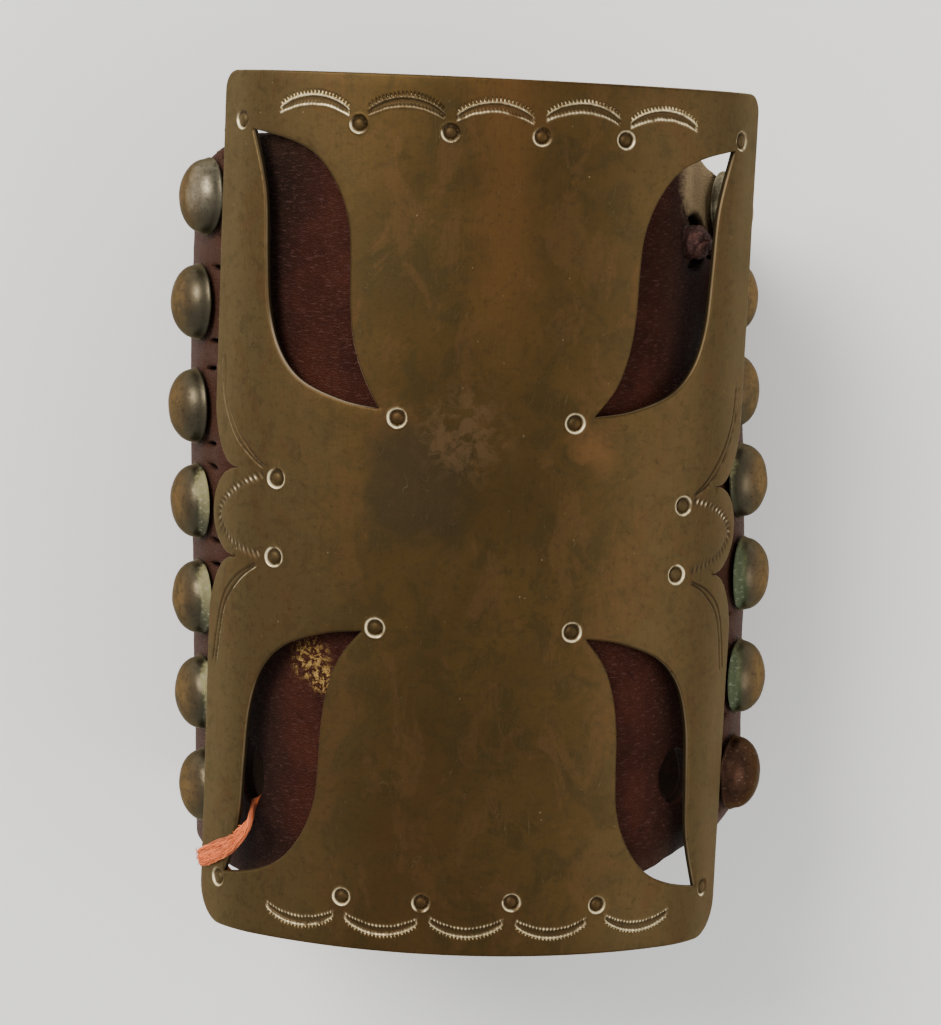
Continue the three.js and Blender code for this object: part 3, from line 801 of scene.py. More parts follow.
# %% Lathe and tube
def sleeve(rows, sides):
    faces = []
    for row in range(rows - 1):
        low, high = row * sides, (row + 1) * sides
        for i in range(sides):
            j = (i + 1) % sides
            faces.append((low + i, low + j, high + j, high + i))
    return faces


def spun(profile, sides, matrix, wobble=None):
    profile = np.asarray(profile, float)
    angles = np.linspace(0, 2 * math.pi, sides, endpoint=False)
    points = []
    for r, h in profile[1:-1]:
        points += [(r * math.cos(a), r * math.sin(a), h) for a in angles]
    rows = len(profile) - 2
    first, last = len(points), len(points) + 1
    points += [(0, 0, profile[0][1]), (0, 0, profile[-1][1])]
    faces = sleeve(rows, sides)
    faces += [(first, (i + 1) % sides, i) for i in range(sides)]
    top = (rows - 1) * sides
    faces += [(last, top + i, top + (i + 1) % sides) for i in range(sides)]
    points = np.array(points)
    local = points.copy()
    if wobble is not None:
        points = wobble(points)
    rotation, move = np.array(matrix.to_3x3()), np.array(matrix.translation)
    return points @ rotation.T + move, faces, local


def mesh_of(name, points, faces):
    mesh = bpy.data.meshes.new(name)
    mesh.from_pydata((np.asarray(points) * MM).tolist(), [], faces)
    return mesh


def on_band_matrix(s, y, w):
    across = on_band(s + 1, y, 0) - on_band(s - 1, y, 0)
    along = on_band(s, y + 1, 0) - on_band(s, y - 1, 0)
    out = Vector(np.cross(across, along)).normalized()
    x_axis = Vector(across).normalized()
    y_axis = out.cross(x_axis)
    matrix = Matrix((x_axis, y_axis, out)).transposed().to_4x4()
    matrix.translation = Vector(on_band(s, y, 0)) + out * w
    return matrix


def tube(path, radii, sides):
    path = np.asarray(path, float)
    radii = np.broadcast_to(radii, len(path))
    along = np.gradient(path, axis=0)
    along /= np.linalg.norm(along, axis=1)[:, None] + 1e-12
    side = np.cross(along[0], (0.31, 0.12, 0.94))
    points = []
    for p, t, r in zip(path, along, radii):
        side = side - t * (side @ t)
        side /= np.linalg.norm(side)
        up = np.cross(t, side)
        for k in range(sides):
            a = 2 * math.pi * k / sides
            points.append(p + r * (math.cos(a) * side + math.sin(a) * up))
    faces = sleeve(len(path), sides)
    faces.append(tuple(range(sides))[::-1])
    last = (len(path) - 1) * sides
    faces.append(tuple(range(last, last + sides)))
    return np.array(points), faces


def joined(parts):
    points, faces, start = [], [], 0
    for part_points, part_faces in parts:
        points.append(part_points)
        faces += [tuple(int(i) + start for i in f) for f in part_faces]
        start += len(part_points)
    return np.vstack(points), faces


print("lathe and tube ready")

# %% [markdown]
# ## The leather band
# The band is one strap of thick leather. Its corners are rounded, four tie holes are punched near the
# corners of the plate, and beside every stud are two short slits. It is cut flat with the same tool as
# the plate and then bent.

# %% Outline and holes of the band
OUTLINE_S = (0, 24, 30, 34, 38, 43, 48, 56, 70, 120)
OUTLINE = {
    (-1, 1): (47, 47, 46.9, 46.7, 46.1, 44.4, 42.4, 40.8, 40.0, 40.0),
    (1, 1): (47, 46.9, 46.3, 45.4, 43.9, 42.3, 41.5, 40.6, 40.0, 40.0),
    (-1, -1): (47, 47.0, 47.2, 47.5, 47.4, 47.0, 46.7, 46.5, 46.8, 46.5),
    (1, -1): (47, 45.0, 43.8, 43.4, 43.2, 43.2, 43.4, 44.2, 45.6, 46.0),
}
# across, along, and two looks: from coppery 0 to silvery 1, and how much green crust
STUD_ROWS = {
    "left": ((-43.3, 39.0, 0.85, 0.1), (-45.2, 25.5, 0.55, 0.15), (-46.0, 12.0, 0.5, 0.2),
             (-45.6, -0.4, 0.46, 0.9), (-45.3, -13.0, 0.44, 0.9), (-44.7, -25.6, 0.46, 0.9),
             (-43.6, -37.8, 0.44, 0.85)),
    "right": ((41.6, 38.7, 1.0, 0.0), (42.6, 27.7, 0.46, 0.1), (42.0, 15.6, 0.4, 0.2),
              (44.0, 3.7, 0.42, 0.5), (45.4, -8.8, 0.53, 0.85), (44.6, -22.4, 0.55, 0.8),
              (42.8, -35.0, 0.05, 0.1)),
}
STUDS = [(f"stud_{side}_{k}", *row) for side, rows in STUD_ROWS.items() for k, row in enumerate(rows, 1)]
# across, along, width, length
TIE_HOLES = ((-32.0, 34.7, 5.2, 5.8), (32.0, 34.7, 6.8, 6.8),
             (-32.1, -34.1, 4.4, 7.8), (28.9, -33.2, 5.8, 7.0))
POST_V, POST_HOLE, SMALL_HOLE = 26.0, 3.6, 2.4
LACE_TURNS, LACE_PITCH, LACE_EDGE, LACE_STAGGER = 5, 10.5, 2.2, 0.25
LACE_S = BAND_HALF_ARC - LACE_EDGE
SLIT_REACH, SLIT_RISE, SLIT_LENGTH, SLIT_WIDTH = 3.9, 4.8, 3.0, 0.34
random.seed(11)


def lace_y(side, turn):
    return (turn + side * LACE_STAGGER - (LACE_TURNS - 1) / 2) * LACE_PITCH


def band_edge(side, end):
    s = np.arange(0, BAND_HALF_ARC, 0.8)
    s = np.append(s, BAND_HALF_ARC)
    y = np.interp(s, OUTLINE_S, OUTLINE[side, end])
    smooth = np.convolve(np.pad(y, 2, "edge"), np.ones(5) / 5, "valid")
    worn = np.array([0.12 * noise.noise((a / 2.3, side * 5.0, end * 9.0)) for a in s])
    return np.stack([side * s, end * (smooth + 0.3 + worn)], 1)


def ellipse(s, y, across, along, count, ragged=0.0):
    t = np.linspace(0, 2 * math.pi, count, endpoint=False)
    r = 0.5 + ragged * np.array([noise.noise((math.cos(a) * 2, math.sin(a) * 2, s)) for a in t])
    return np.stack([s + across * r * np.cos(t), y + along * r * np.sin(t)], 1)


def slit(s, y, tilt):
    t = np.linspace(0, 2 * math.pi, 20, endpoint=False)
    x = SLIT_LENGTH / 2 * np.cos(t)
    return np.stack([s + x, y + SLIT_WIDTH / 2 * np.sin(t) * np.abs(np.sin(t)) + tilt * x], 1)


lower = np.vstack([band_edge(-1, -1)[::-1], band_edge(1, -1)[1:]])
upper = np.vstack([band_edge(1, 1)[::-1], band_edge(-1, 1)[1:]])
band_loops = [refined(turned(np.vstack([lower, upper]), True), 0.8)]
band_loops += [ellipse(*hole, 40, 0.035) for hole in TIE_HOLES]
slits = []
for _, s, y, *_ in STUDS:
    band_loops.append(ellipse(s, y, SMALL_HOLE, SMALL_HOLE, 16))
    for end in (-1, 1):
        near = math.copysign(abs(s) - SLIT_REACH, s)
        place = (near + random.uniform(-0.3, 0.3), y + end * SLIT_RISE + random.uniform(-0.3, 0.3))
        tilt = random.uniform(-0.12, 0.12)
        edge = np.interp(abs(place[0]), OUTLINE_S, OUTLINE[int(math.copysign(1, s)), end])
        if end * place[1] < edge - 1.2:
            slits.append(place)
            band_loops.append(slit(*place, tilt))
for end in (-1, 1):
    post = on_plate(0.0, end * POST_V, 0.0)
    band_loops.append(ellipse(post[0], post[1], POST_HOLE, POST_HOLE, 16))
for turn in range(LACE_TURNS):
    for side in (-1, 1):
        band_loops.append(ellipse(side * LACE_S, lace_y(side, turn), SMALL_HOLE, SMALL_HOLE, 16))
band_loops = band_loops[:1] + [turned(loop, False) for loop in band_loops[1:]]
slits = np.array(slits)
print("openings in the band:", len(band_loops) - 1)

# %% [markdown]
# Old leather is never smooth: it sinks a little between the places where it is held and puckers at every
# slit. The relief only goes inwards from the outer face, so the leather never rises into the plate or the
# studs.


# %% Bend the band
def slit_pull(points, width):
    gaps = (points[:, None, :] - slits[None]) / (2.0, width)
    return np.exp(-(gaps**2).sum(2)).max(1)


BAND_GRID, INSIDE_GRID, BAND_ROWS, BAND_CLEAR = 1.05, 2.4, (0.16, 0.4), 0.12
BAND_EDGE_RADIUS, BAND_HALF_LENGTH, RIM_WIDTH = 0.5, 48, 2.2
band_border = np.vstack(band_loops)


def band_relief(points):
    soft = 0.5 + 0.5 * waviness(points, 9.0, 3.3)
    creases = np.abs(waviness(points * (0.35, 1.0), 3.2, 8.8))
    return -0.16 * soft - 0.1 * creases - 0.3 * slit_pull(points, 1.3)


def band_front(points):
    edge = rounded_edge(distances(points, band_border), BAND_EDGE_RADIUS)
    return on_band(points[:, 0], points[:, 1], band_relief(points) + edge)


def band_back(points):
    edge = rounded_edge(distances(points, band_border), BAND_EDGE_RADIUS)
    return on_band(points[:, 0], points[:, 1], -BAND_THICKNESS - edge)


band_corner = np.array((BAND_HALF_ARC, BAND_HALF_LENGTH))
band_grid, coarse_grid = (hex_grid(-band_corner, band_corner, step) for step in (BAND_GRID, INSIDE_GRID))
band_rows = edge_rows(band_loops, BAND_ROWS)
outside_points, inside_points = np.vstack([band_rows, band_grid]), np.vstack([band_rows, coarse_grid])
band_mesh, band_flat, band_back_flat = sheet_mesh(
    "leather_band_strap", band_loops, outside_points, inside_points, BAND_CLEAR, band_front, band_back)
store(band_mesh, "flesh", np.concatenate([np.zeros(len(band_flat)), np.ones(len(band_back_flat))]))
rims = [bell(distances(flat_points, band_loops[0]), RIM_WIDTH) for flat_points in (band_flat, band_back_flat)]
store(band_mesh, "edge", np.concatenate(rims))
cut = [np.arange(len(points)) < len(band_border) for points in (band_flat, band_back_flat)]
store(band_mesh, "cut", np.concatenate(cut))
store(band_mesh, "dark", np.concatenate([slit_pull(band_flat, 0.5), np.zeros(len(band_back_flat))]))
print("band surface points:", len(band_flat))

# %% [markdown]
# ## Worn leather
# The face is a dark red brown with a fine pebble grain and paler scuffs, and painted shadow darkens it
# beside the plate's strips and towards the upper left corner. One corner is rubbed through to grey tan,
# a few flecks of gold paint sit in the lower left leaf, and the inside shows the paler flesh side of the
# hide.

# %% Leather finish
leather, wire, shader = new_finish("worn_leather")
flat = unrolled(wire)
across, along = flat.part("X"), flat.part("Y")
flesh, edge, pulled, cut = (measured(wire, name) for name in ("flesh", "edge", "dark", "cut"))
clouds = flat.cloud(0.11, 4.0, 0.6)
mottle = flat.cloud(0.6, 4.0, 0.65)
pebble = flat.stretched(2.3, 4.0).cells(1.0, "DISTANCE_TO_EDGE")
pores = flat.cells(3.6)
fibres = flat.cloud(3.5, 3.0, 0.7)
wrinkles = flat.stretched(0.9, 4.2).cloud(1.0, 4.0, 0.7, 0.6)
scuffs = fibres.rise(0.63, 0.74) * clouds.rise(0.4, 0.62)
under_plate = 1 - abs(across).rise(33.5, 37.0)
# shade and corner are painted shadow: darker beside the plate's strips and towards the upper left corner
shade = abs(across + (clouds - 0.5) * 6).rise(21.0, 29.0) * under_plate
corner = (0 - across).rise(17.0, 27.0) * along.rise(28.0, 44.0) * under_plate
tone = clouds.rise(0.3, 0.7).tint((0.028, 0.008, 0.0045), (0.054, 0.015, 0.0085))
tone = layered(
    tone,
    (mottle.rise(0.5, 0.75) * 0.5, (0.016, 0.0065, 0.005)),
    (shade * 0.65, (0.014, 0.0075, 0.0055)),
    (corner * 0.6, (0.012, 0.0075, 0.0055)),
    (edge * mottle.rise(0.3, 0.6) * 0.6, (0.085, 0.042, 0.026)),
    (abs(across).rise(35.0, 42.0) * 0.75, (0.07, 0.033, 0.0205)),
    ((1 - pebble.rise(0.0, 0.1)) * 0.45, (0.01, 0.005, 0.004)),
    (wrinkles.rise(0.53, 0.66) * 0.42, (0.105, 0.05, 0.042)),
    (scuffs * 0.5, (0.14, 0.085, 0.065)))
print("leather tone mixed")

# %% [markdown]
# Then come the marks of use and some painted shade: the corner that is rubbed through to tan, painted
# shade round the knot's hole and on the walls of the holes, flecks of gold paint, dark slits, and the raw
# inside of the hide.

# %% Wear on the leather
rubbed = spot(flat, 34.4, 41.9, 5.4, 2.0, mottle)
halo = spot(flat, 30.8, 43.4, 3.4, 1.6, wrinkles) * wrinkles.rise(0.4, 0.58)
# the leather round the knot's hole is painted near black, as painted shade of the hole
knot_hole_shade = spot(flat, 32.0, 34.7, 3.9, 0.4, mottle)
flake = flat.cloud(1.15, 6.0, 0.75, 0.5).rise(0.48, 0.56) * (0.45 + 0.55 * fibres.rise(0.4, 0.6))
flakes_high = spot(flat, -21.6, -18.0, 2.3, 1.2, mottle)
flakes_low = spot(flat, -19.7, -20.2, 1.7, 0.8, mottle)
gilt = wire.math("MAXIMUM", flakes_high * 0.85, flakes_low) * flake
suede = (0.4 * fibres + 0.6 * mottle).rise(0.3, 0.7).tint((0.02, 0.011, 0.008), (0.042, 0.024, 0.016))
tone = layered(
    tone,
    (rubbed * (0.72 + 0.28 * wrinkles.rise(0.35, 0.55)), (0.5, 0.36, 0.19)),
    (halo * 0.6, (0.3, 0.21, 0.12)),
    (knot_hole_shade * 0.85, (0.006, 0.004, 0.003)),
    (gilt, (0.46, 0.29, 0.085)),
    (pulled.rise(0.35, 0.95) * 0.8, (0.008, 0.004, 0.003)),
    (flesh, suede),
    # the walls of the holes are painted dark, as painted shade inside the holes
    (cut.rise(0.6, 1.0) * (1 - edge.rise(0.5, 1.0)) * 0.85, (0.01, 0.0055, 0.004)))
grain = pebble.rise(0.0, 0.25) * 0.6 + pores.rise(0.0, 0.5) * 0.3
grain = grain + fibres * 0.35 + mottle * 0.5 + wrinkles * 0.5
plug(shader, Base_Color=tone, Roughness=0.52 + 0.25 * mottle + flesh * 0.2 + rubbed * 0.15)
plug(shader, Normal=relief(wire, grain, 0.00018, 0.75), Specular_IOR_Level=0.06)
piece("leather_band_strap", band_mesh, leather, "leather", "leather_band")

# %% [markdown]
# ## Dome studs
# Each stud is a deep brass dome with a thin lip, set through the leather on a shank. They are alike but
# not equal: some are silvery where they rub, one is coppery, and several carry a crust of green verdigris
# on the side towards the plate. Each stud keeps its own numbers for that, and one finish reads them.

# %% Spin the studs
STUD_RADIUS, STUD_HEIGHT, STUD_RIM, STUD_GAP = 5.0, 3.55, 0.5, 0.3
STUD_FOOT = -BAND_THICKNESS - 0.6
STUD_SIDES, DENT, CRUST_LUMP = 56, 0.1, 0.16


def stud_profile():
    t = np.linspace(0, math.pi / 2, 15)[1:-1]
    r, h = (STUD_RADIUS - 0.25) * np.cos(t) ** 0.92, STUD_RIM + (STUD_HEIGHT - STUD_RIM) * np.sin(t)
    dome = np.stack([r, h], 1)
    foot = [(0, STUD_FOOT - 0.6), (1.5, STUD_FOOT - 0.6), (1.8, STUD_FOOT - 0.45)]
    foot += [(1.8, STUD_FOOT), (0.9, STUD_FOOT)]
    lip = [(0.9, 0.0), (4.85, 0.0), (4.97, 0.07), (4.97, 0.2), (4.92, 0.3), (4.82, STUD_RIM - 0.05)]
    return np.vstack([foot, lip, dome, [(0, STUD_HEIGHT)]])


stud_meshes = []
for number, (name, s, y, tone_value, crust_value) in enumerate(STUDS):
    towards_plate = math.pi if s > 0 else 0.0

    def dented(points, seed=number, facing=towards_plate, crust=crust_value):
        out = points.copy()
        for p in out:
            r = math.hypot(p[0], p[1])
            side = max(0.0, math.cos(math.atan2(p[1], p[0]) - facing))
            bump = noise.noise((p[0] * 0.45, p[1] * 0.45, seed * 3.7))
            lump = max(0.0, noise.noise((p[0] * 2.2, p[1] * 2.2, seed * 5.1)) + 0.25)
            if p[2] > 0.2:
                p[2] += DENT * bump * (1 - (r / 5.2) ** 2) + CRUST_LUMP * crust * lump * side * float(r > 4.0)
        return out

    points, faces, local = spun(stud_profile(), STUD_SIDES, on_band_matrix(s, y, STUD_GAP), dented)
    mesh = mesh_of(name + "_dome", points, faces)
    radius = np.hypot(local[:, 0], local[:, 1])
    facing = np.clip(np.cos(np.arctan2(local[:, 1], local[:, 0]) - towards_plate) * 1.15, 0, 1)
    low = soft_step(1 - local[:, 2] / STUD_HEIGHT, 0.2, 0.95)
    store(mesh, "flat", np.column_stack([local[:, :2], local[:, 2] + 20.0 * number]))
    store(mesh, "rimward", radius / STUD_RADIUS)
    store(mesh, "silver", np.full(len(local), tone_value))
    store(mesh, "crust", crust_value * facing * low)
    stud_meshes.append((name, mesh))
print("studs spun:", len(stud_meshes))

# %% [markdown]
# The finish mixes three metals by the stud's own number: copper red, brass, and a paler worn tone.
# It also paints light and shade on the domes: painted shade on the lower side and towards the rim, and a
# painted highlight over the golden middle and the worn patch.
# Verdigris is a rough mineral, not metal, so it lowers the metallic value as well as changing the colour.

# %% Stud finish
stud_brass, wire, shader = new_finish("stud_brass")
flat = unrolled(wire)
rimward, silver, crust = (measured(wire, name) for name in ("rimward", "silver", "crust"))
clouds = flat.cloud(0.32, 4.0, 0.6)
fine = flat.cloud(1.9, 4.0, 0.65)
# the lower side of each dome is painted darker, as painted shade
low_side_shade = 1 - (flat.part("Y") + (clouds - 0.5) * 5).rise(-4.2, 0.6)
blush = flat.cloud(0.9, 5.0, 0.7)
# worn bare metal on the silvery studs, kept to the upper right: partly wear, partly painted highlight
bare_and_highlight = (flat.part("X") + (clouds - 0.5) * 4 + (fine - 0.5) * 2).rise(0.4, 2.5)
bare_and_highlight = bare_and_highlight * (flat.part("Y") + (fine - 0.5) * 5).rise(-3.4, -0.4) * silver.rise(0.6, 0.8)
yellow = silver.rise(0.1, 0.4)
# gold: a golden middle on the dome, partly the brass's own colour, partly painted highlight
gold = (1 - rimward.rise(0.25, 0.95)) * (0.4 * clouds + 0.6 * blush).rise(0.4, 0.58) * yellow
tone = yellow.tint((0.05, 0.024, 0.015), (0.09, 0.064, 0.036))
tone = layered(
    tone,
    (blush.rise(0.45, 0.62) * (1 - yellow) * 0.7, (0.028, 0.015, 0.01)),
    (gold * 0.85, (0.175, 0.11, 0.048)),
    (bare_and_highlight * (0.55 + 0.45 * blush.rise(0.4, 0.6)), (0.25, 0.21, 0.145)),
    (silver.rise(0.88, 0.98) * (0.7 + 0.3 * blush.rise(0.4, 0.6)), (0.42, 0.36, 0.23)),
    (low_side_shade * yellow * 0.6, (0.045, 0.042, 0.029)),
    # darker towards the rim: partly greenish patina, partly painted shade
    (rimward.rise(0.6, 0.98) * (0.3 + 0.7 * fine) * yellow, (0.068, 0.064, 0.044)),
    (fine.rise(0.52, 0.7) * 0.5, (0.03, 0.021, 0.013)),
    (fine.rise(0.6, 0.68) * (1 - silver.rise(0.05, 0.2)) * 0.6, (0.2, 0.13, 0.085)))
print("stud metal mixed")

# %% [markdown]
# The crust lies over the metal: olive where it begins, pale and chalky towards the top, where the
# paleness is partly painted highlight, and speckled at the rim. Two studs on the right are greener than
# the others.

# %% Verdigris
# upper: the crust is paler towards the top of the dome, partly as painted highlight
upper = flat.part("Y").rise(-3.0, 3.0)
patchy = (fine - 0.5) * 0.5 + (clouds - 0.5) * 0.5
olive = (crust * 1.2 + patchy).rise(0.25, 0.65) * crust.rise(0.02, 0.2)
pale = (crust * (0.5 + 0.55 * upper) + patchy * 0.8).rise(0.32, 0.62) * crust.rise(0.05, 0.2)
pale = pale * (0.65 + 0.35 * fine.rise(0.36, 0.58))
greenest = silver.rise(0.5, 0.52) * (1 - silver.rise(0.6, 0.7)) * crust.rise(0.02, 0.3)
rim_crust = (crust + patchy * 0.3).rise(0.46, 0.68)
crust_tone = upper.tint((0.085, 0.085, 0.052), (0.26, 0.235, 0.115))
tone = layered(
    tone,
    (olive * 0.6, greenest.tint((0.06, 0.062, 0.036), (0.05, 0.085, 0.035))),
    (pale * (0.75 - 0.45 * greenest), (0.31, 0.275, 0.125)),
    (rim_crust * 0.75, greenest.tint(crust_tone, (0.085, 0.115, 0.06))),
    (rim_crust * fine.rise(0.55, 0.68) * 0.55, (0.36, 0.37, 0.26)))
green = wire.math("MAXIMUM", rim_crust, pale * 0.6)
dull = 0.24 + 0.2 * clouds + 0.14 * fine + green * 0.35
plug(shader, Base_Color=tone, Roughness=dull, Metallic=0.95 - green * 0.85)
plug(shader, Normal=relief(wire, fine * 0.5 + green * fine * 1.5, 0.00008, 0.6))
plug(shader, Specular_Tint=(0.55, 0.5, 0.43, 1.0))
for name, mesh in stud_meshes:
    piece(name + "_dome", mesh, stud_brass, "stud_brass", name, sharp=50)

# %% [markdown]
# ## Posts, knot and ties
# What holds the plate is mostly hidden: two posts behind it, a knotted thong in one tie hole and a frayed
# orange tie that comes out of another, crosses the strip of the plate and turns behind its edge.

# %% Hidden posts of the plate
POST_RADIUS, POST_HEAD = 1.5, 2.8
post_parts = []
for end in (-1, 1):
    low, high = BAND_CROWN - BAND_THICKNESS - 0.3, PLATE_CROWN - PLATE_THICKNESS + 0.2
    profile = [(0, low - 0.8), (2.5, low - 0.8), (POST_HEAD, low - 0.5), (POST_HEAD, low),
               (POST_RADIUS, low), (POST_RADIUS, high), (0, high)]
    foot = on_plate(0.0, end * POST_V, 0.0)
    points, faces, _ = spun(profile, 24, Matrix.Translation((foot[0], foot[1], 0.0)))
    post_parts.append((points, faces))
post_points, post_faces = joined(post_parts)
post_mesh = mesh_of("plate_posts", post_points, post_faces)
store(post_mesh, "flat", post_points)
store(post_mesh, "edge", np.full(len(post_points), 0.1))
piece("plate_posts", post_mesh, brass, "plate_brass")

# %% [markdown]
# The knot is the end of a thong that was tied off in the tie hole. A ball with two spiral furrows and
# some crumpling reads as folded leather. It leans a little to the right, under the strip of the plate, as
# in the picture.

# %% Thong knot
KNOT_RADIUS, KNOT_SINK, KNOT_NECK, KNOT_HEAD, KNOT_LEAN = 2.12, 0.6, 1.2, 3.6, 0.85


def knotted(points):
    out = points.copy()
    for p in out:
        if p[2] > -2.0:
            angle = math.atan2(p[1], p[0])
            furrow = math.exp(-((math.sin(1.5 * angle + 1.4 * p[2]) / 0.3) ** 2))
            furrow += 0.8 * math.exp(-((math.sin(angle - 1.9 * p[2] + 0.8) / 0.28) ** 2))
            crumple = noise.noise(Vector(p) * 1.3) + 0.6 * noise.noise(Vector(p) * 3.0)
            swell = 1.04 - 0.1 * furrow + 0.08 * crumple
            lean = KNOT_LEAN * min(1.0, (p[2] + 2.0) / 1.2)
            p[0] = p[0] * swell + lean
            p[1] *= swell
            p[2] = -KNOT_SINK + (p[2] + KNOT_SINK) * swell
    return out


t = np.linspace(-0.62, math.pi / 2, 22)
ball = np.stack([KNOT_RADIUS * np.cos(t), KNOT_RADIUS * np.sin(t) - KNOT_SINK], 1)
tail = [(0, -4.0), (3.2, -4.0), (KNOT_HEAD, -3.7), (KNOT_HEAD, -3.0)]
tail += [(3.3, -2.85), (KNOT_NECK, -2.8), (KNOT_NECK, -2.2)]
profile = np.vstack([tail, ball[:-1], [(0, KNOT_RADIUS - KNOT_SINK)]])
knot_points, knot_faces, knot_local = spun(profile, 48, on_band_matrix(*TIE_HOLES[1][:2], 0.0), knotted)
knot_mesh = mesh_of("thong_knot_fold", knot_points, knot_faces)
store(knot_mesh, "flat", knot_local)
thong, wire, shader = new_finish("knot_leather")
flat = unrolled(wire)
mottle = flat.cloud(0.8, 4.0, 0.65)
fibres = flat.cloud(3.2, 4.0, 0.7)
tone = mottle.rise(0.3, 0.7).tint((0.032, 0.009, 0.006), (0.115, 0.035, 0.024))
tone = (fibres.rise(0.52, 0.66) * 0.6).tint(tone, (0.25, 0.12, 0.09))
folds = relief(wire, fibres + mottle, 0.0002, 0.8)
plug(shader, Base_Color=tone, Roughness=0.6 + 0.2 * fibres, Normal=folds)
piece("thong_knot_fold", knot_mesh, thong, "knot_leather", "thong_knot", sharp=60)

# %% [markdown]
# The orange tie is a loosely twisted yarn. A few thick strands follow its route, wound round each other,
# and fine fibres leave them towards the frayed end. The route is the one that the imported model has.

# %% Route of the tie
TIE_ROUTE = (("band", -25.5, -34.6, -3.1), ("band", -29.6, -36.4, -3.0), ("band", -31.3, -37.2, -2.0),
             ("band", -31.5, -37.6, -0.6), ("band", -31.2, -38.3, 0.45), ("plate", -28.5, -39.6, -0.2),
             ("plate", -29.0, -41.0, 0.5), ("plate", -30.6, -42.7, 0.6), ("plate", -33.0, -44.1, 0.4),
             ("plate", -36.2, -45.6, 0.4), ("plate", -37.9, -46.2, 0.2), ("plate", -38.25, -46.3, -0.5),
             ("plate", -37.8, -46.4, -1.5), ("plate", -35.0, -47.0, -1.5), ("plate", -32.0, -48.0, -1.5))
surface = {"band": on_band, "plate": on_plate}
route = spline([surface[on](a, b, c) for on, a, b, c in TIE_ROUTE], 14)
random.seed(5)
SPREAD_AT = (0, 0.28, 0.36, 0.46, 0.55, 0.64, 0.72, 0.82, 1)
SPREAD = (0.35, 0.3, 0.4, 0.65, 1.1, 1.1, 0.9, 0.7, 0.4)
steps = np.linspace(0, 1, len(route))
spread = np.interp(steps, SPREAD_AT, SPREAD)
across_way = np.cross(np.gradient(route, axis=0), on_plate(-33.0, -44.0, 1.0) - on_plate(-33.0, -44.0, 0.0))
across_way /= np.linalg.norm(across_way, axis=1)[:, None]
out_way = np.cross(across_way, np.gradient(route, axis=0))
out_way /= np.linalg.norm(out_way, axis=1)[:, None]
print("tie length:", round(float(np.linalg.norm(np.diff(route, axis=0), axis=1).sum()), 1), "mm")

# %% [markdown]
# Strands first, then the loose fibres. Each strand gets its own tone, and the yarn is painted darker
# towards the hole it comes out of, as painted shade.

# %% Strands, fibres and yarn finish
STRANDS, STRAND_SIDES, FIBRES = 24, 6, 150
tie_parts, tie_shade = [], []
for k in range(STRANDS):
    phase = 2 * math.pi * k / STRANDS + random.uniform(-0.3, 0.3)
    twist = phase + 9.0 * steps * random.uniform(0.8, 1.1)
    wander = np.array([noise.noise((t * 9, k * 3.1, 0.5)) for t in steps])
    path = route + across_way * (spread * np.cos(twist) + 0.25 * wander)[:, None]
    path += out_way * (0.22 * np.sin(twist))[:, None]
    points, faces = tube(path, 0.16 + 0.05 * wander, STRAND_SIDES)
    tie_parts.append((points, faces))
    # a random tone for each strand, darker towards the hole as painted shade
    tie_shade += list(random.uniform(0.1, 0.7) + 0.8 * (np.repeat(steps, STRAND_SIDES) - 0.47))
for k in range(FIBRES):
    start = random.randint(int(len(route) * 0.3), int(len(route) * 0.66))
    length = random.randint(14, 34)
    take = slice(start, min(start + length, int(len(route) * 0.72)))
    part_steps = np.linspace(0, 1, len(route[take]))
    if len(part_steps) < 5:
        continue
    push = random.uniform(-1.0, 1.0)
    path = route[take] + across_way[take] * (spread[take] * push * (0.8 + 0.35 * part_steps))[:, None]
    lift = random.uniform(0.05, 0.5) * (0.4 + part_steps**2)
    curl = np.array([noise.noise((t * 4, k * 1.7, 2.5)) for t in part_steps])
    path += out_way[take] * (0.2 + lift * 0.6)[:, None]
    path += across_way[take] * (0.5 * curl * part_steps)[:, None]
    points, faces = tube(path, np.linspace(0.07, 0.035, len(path)), 5)
    tie_parts.append((points, faces))
    tie_shade += [random.uniform(0.3, 1.0)] * len(points)
tie_points, tie_faces = joined(tie_parts)
tie_mesh = mesh_of("orange_tie_yarn", tie_points, tie_faces)
store(tie_mesh, "flat", tie_points)
store(tie_mesh, "shade", tie_shade)
yarn, wire, shader = new_finish("frayed_yarn")
flat = unrolled(wire)
shade = measured(wire, "shade")
fuzz = flat.cloud(2.8, 3.0, 0.7)
tone = (shade * 0.7 + fuzz * 0.4).rise(0.25, 0.85).tint((0.32, 0.07, 0.025), (0.92, 0.22, 0.058))
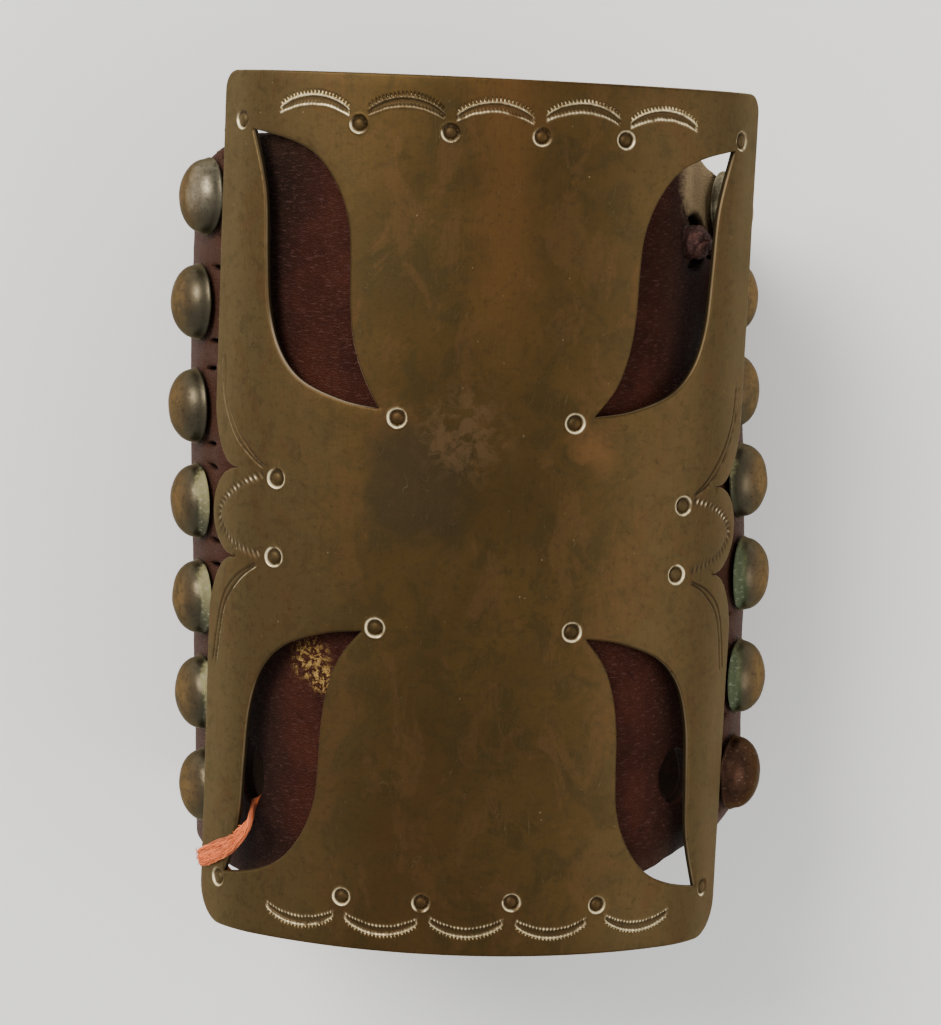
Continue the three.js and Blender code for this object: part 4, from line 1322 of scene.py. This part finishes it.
tone = (fuzz.rise(0.6, 0.75) * 0.2).tint(tone, (0.85, 0.42, 0.22))
plug(shader, Base_Color=tone, Roughness=0.9, Normal=relief(wire, fuzz, 0.0001, 0.7))
piece("orange_tie_yarn", tie_mesh, yarn, "tie_fabric", "orange_tie", sharp=80)

# %% [markdown]
# ## The lace underneath
# The two ends of the band nearly meet under the arm and are whipped together with one thong. No picture
# shows it, so it is kept plain: a round lace that goes down through one edge and up through the other.

# %% Back lace
LACE_RADIUS, LACE_ARCH, LACE_DIP, LACE_SLANT = 0.55, 1.3, 0.85, 1.0
lace_points = []
lace_inner = -BAND_THICKNESS - LACE_RADIUS - 0.3
for turn in range(LACE_TURNS):
    left, right = lace_y(-1, turn), lace_y(1, turn)
    under_left, under_right = on_band(-LACE_S, left, LACE_DIP), on_band(LACE_S, right, LACE_DIP)
    over_left = on_band(-BAND_HALF_ARC, left - LACE_SLANT, lace_inner - LACE_ARCH)
    over_right = on_band(BAND_HALF_ARC, right + LACE_SLANT, lace_inner - LACE_ARCH)
    lace_points += [over_left, on_band(-LACE_S, left, lace_inner), under_left, (under_left + under_right) / 2]
    lace_points += [under_right, on_band(LACE_S, right, lace_inner), over_right]
lace_path = spline(lace_points, 7)
points, faces = tube(lace_path, LACE_RADIUS, 10)
lace_mesh = mesh_of("back_lace_thong", points, faces)
store(lace_mesh, "flat", points)
lace_finish, wire, shader = new_finish("lace_leather")
flat = unrolled(wire)
mottle = flat.cloud(0.7, 4.0, 0.6)
fibres = flat.stretched(3.0, 1.0, 3.0).cloud(1.2, 4.0, 0.7)
tone = mottle.rise(0.3, 0.7).tint((0.03, 0.017, 0.011), (0.075, 0.04, 0.024))
tone = (fibres.rise(0.55, 0.75) * 0.4).tint(tone, (0.15, 0.09, 0.06))
plug(shader, Base_Color=tone, Roughness=0.6 + 0.2 * mottle, Normal=relief(wire, fibres, 0.00015, 0.7))
piece("back_lace_thong", lace_mesh, lace_finish, "lace_leather", "back_lace", sharp=60)
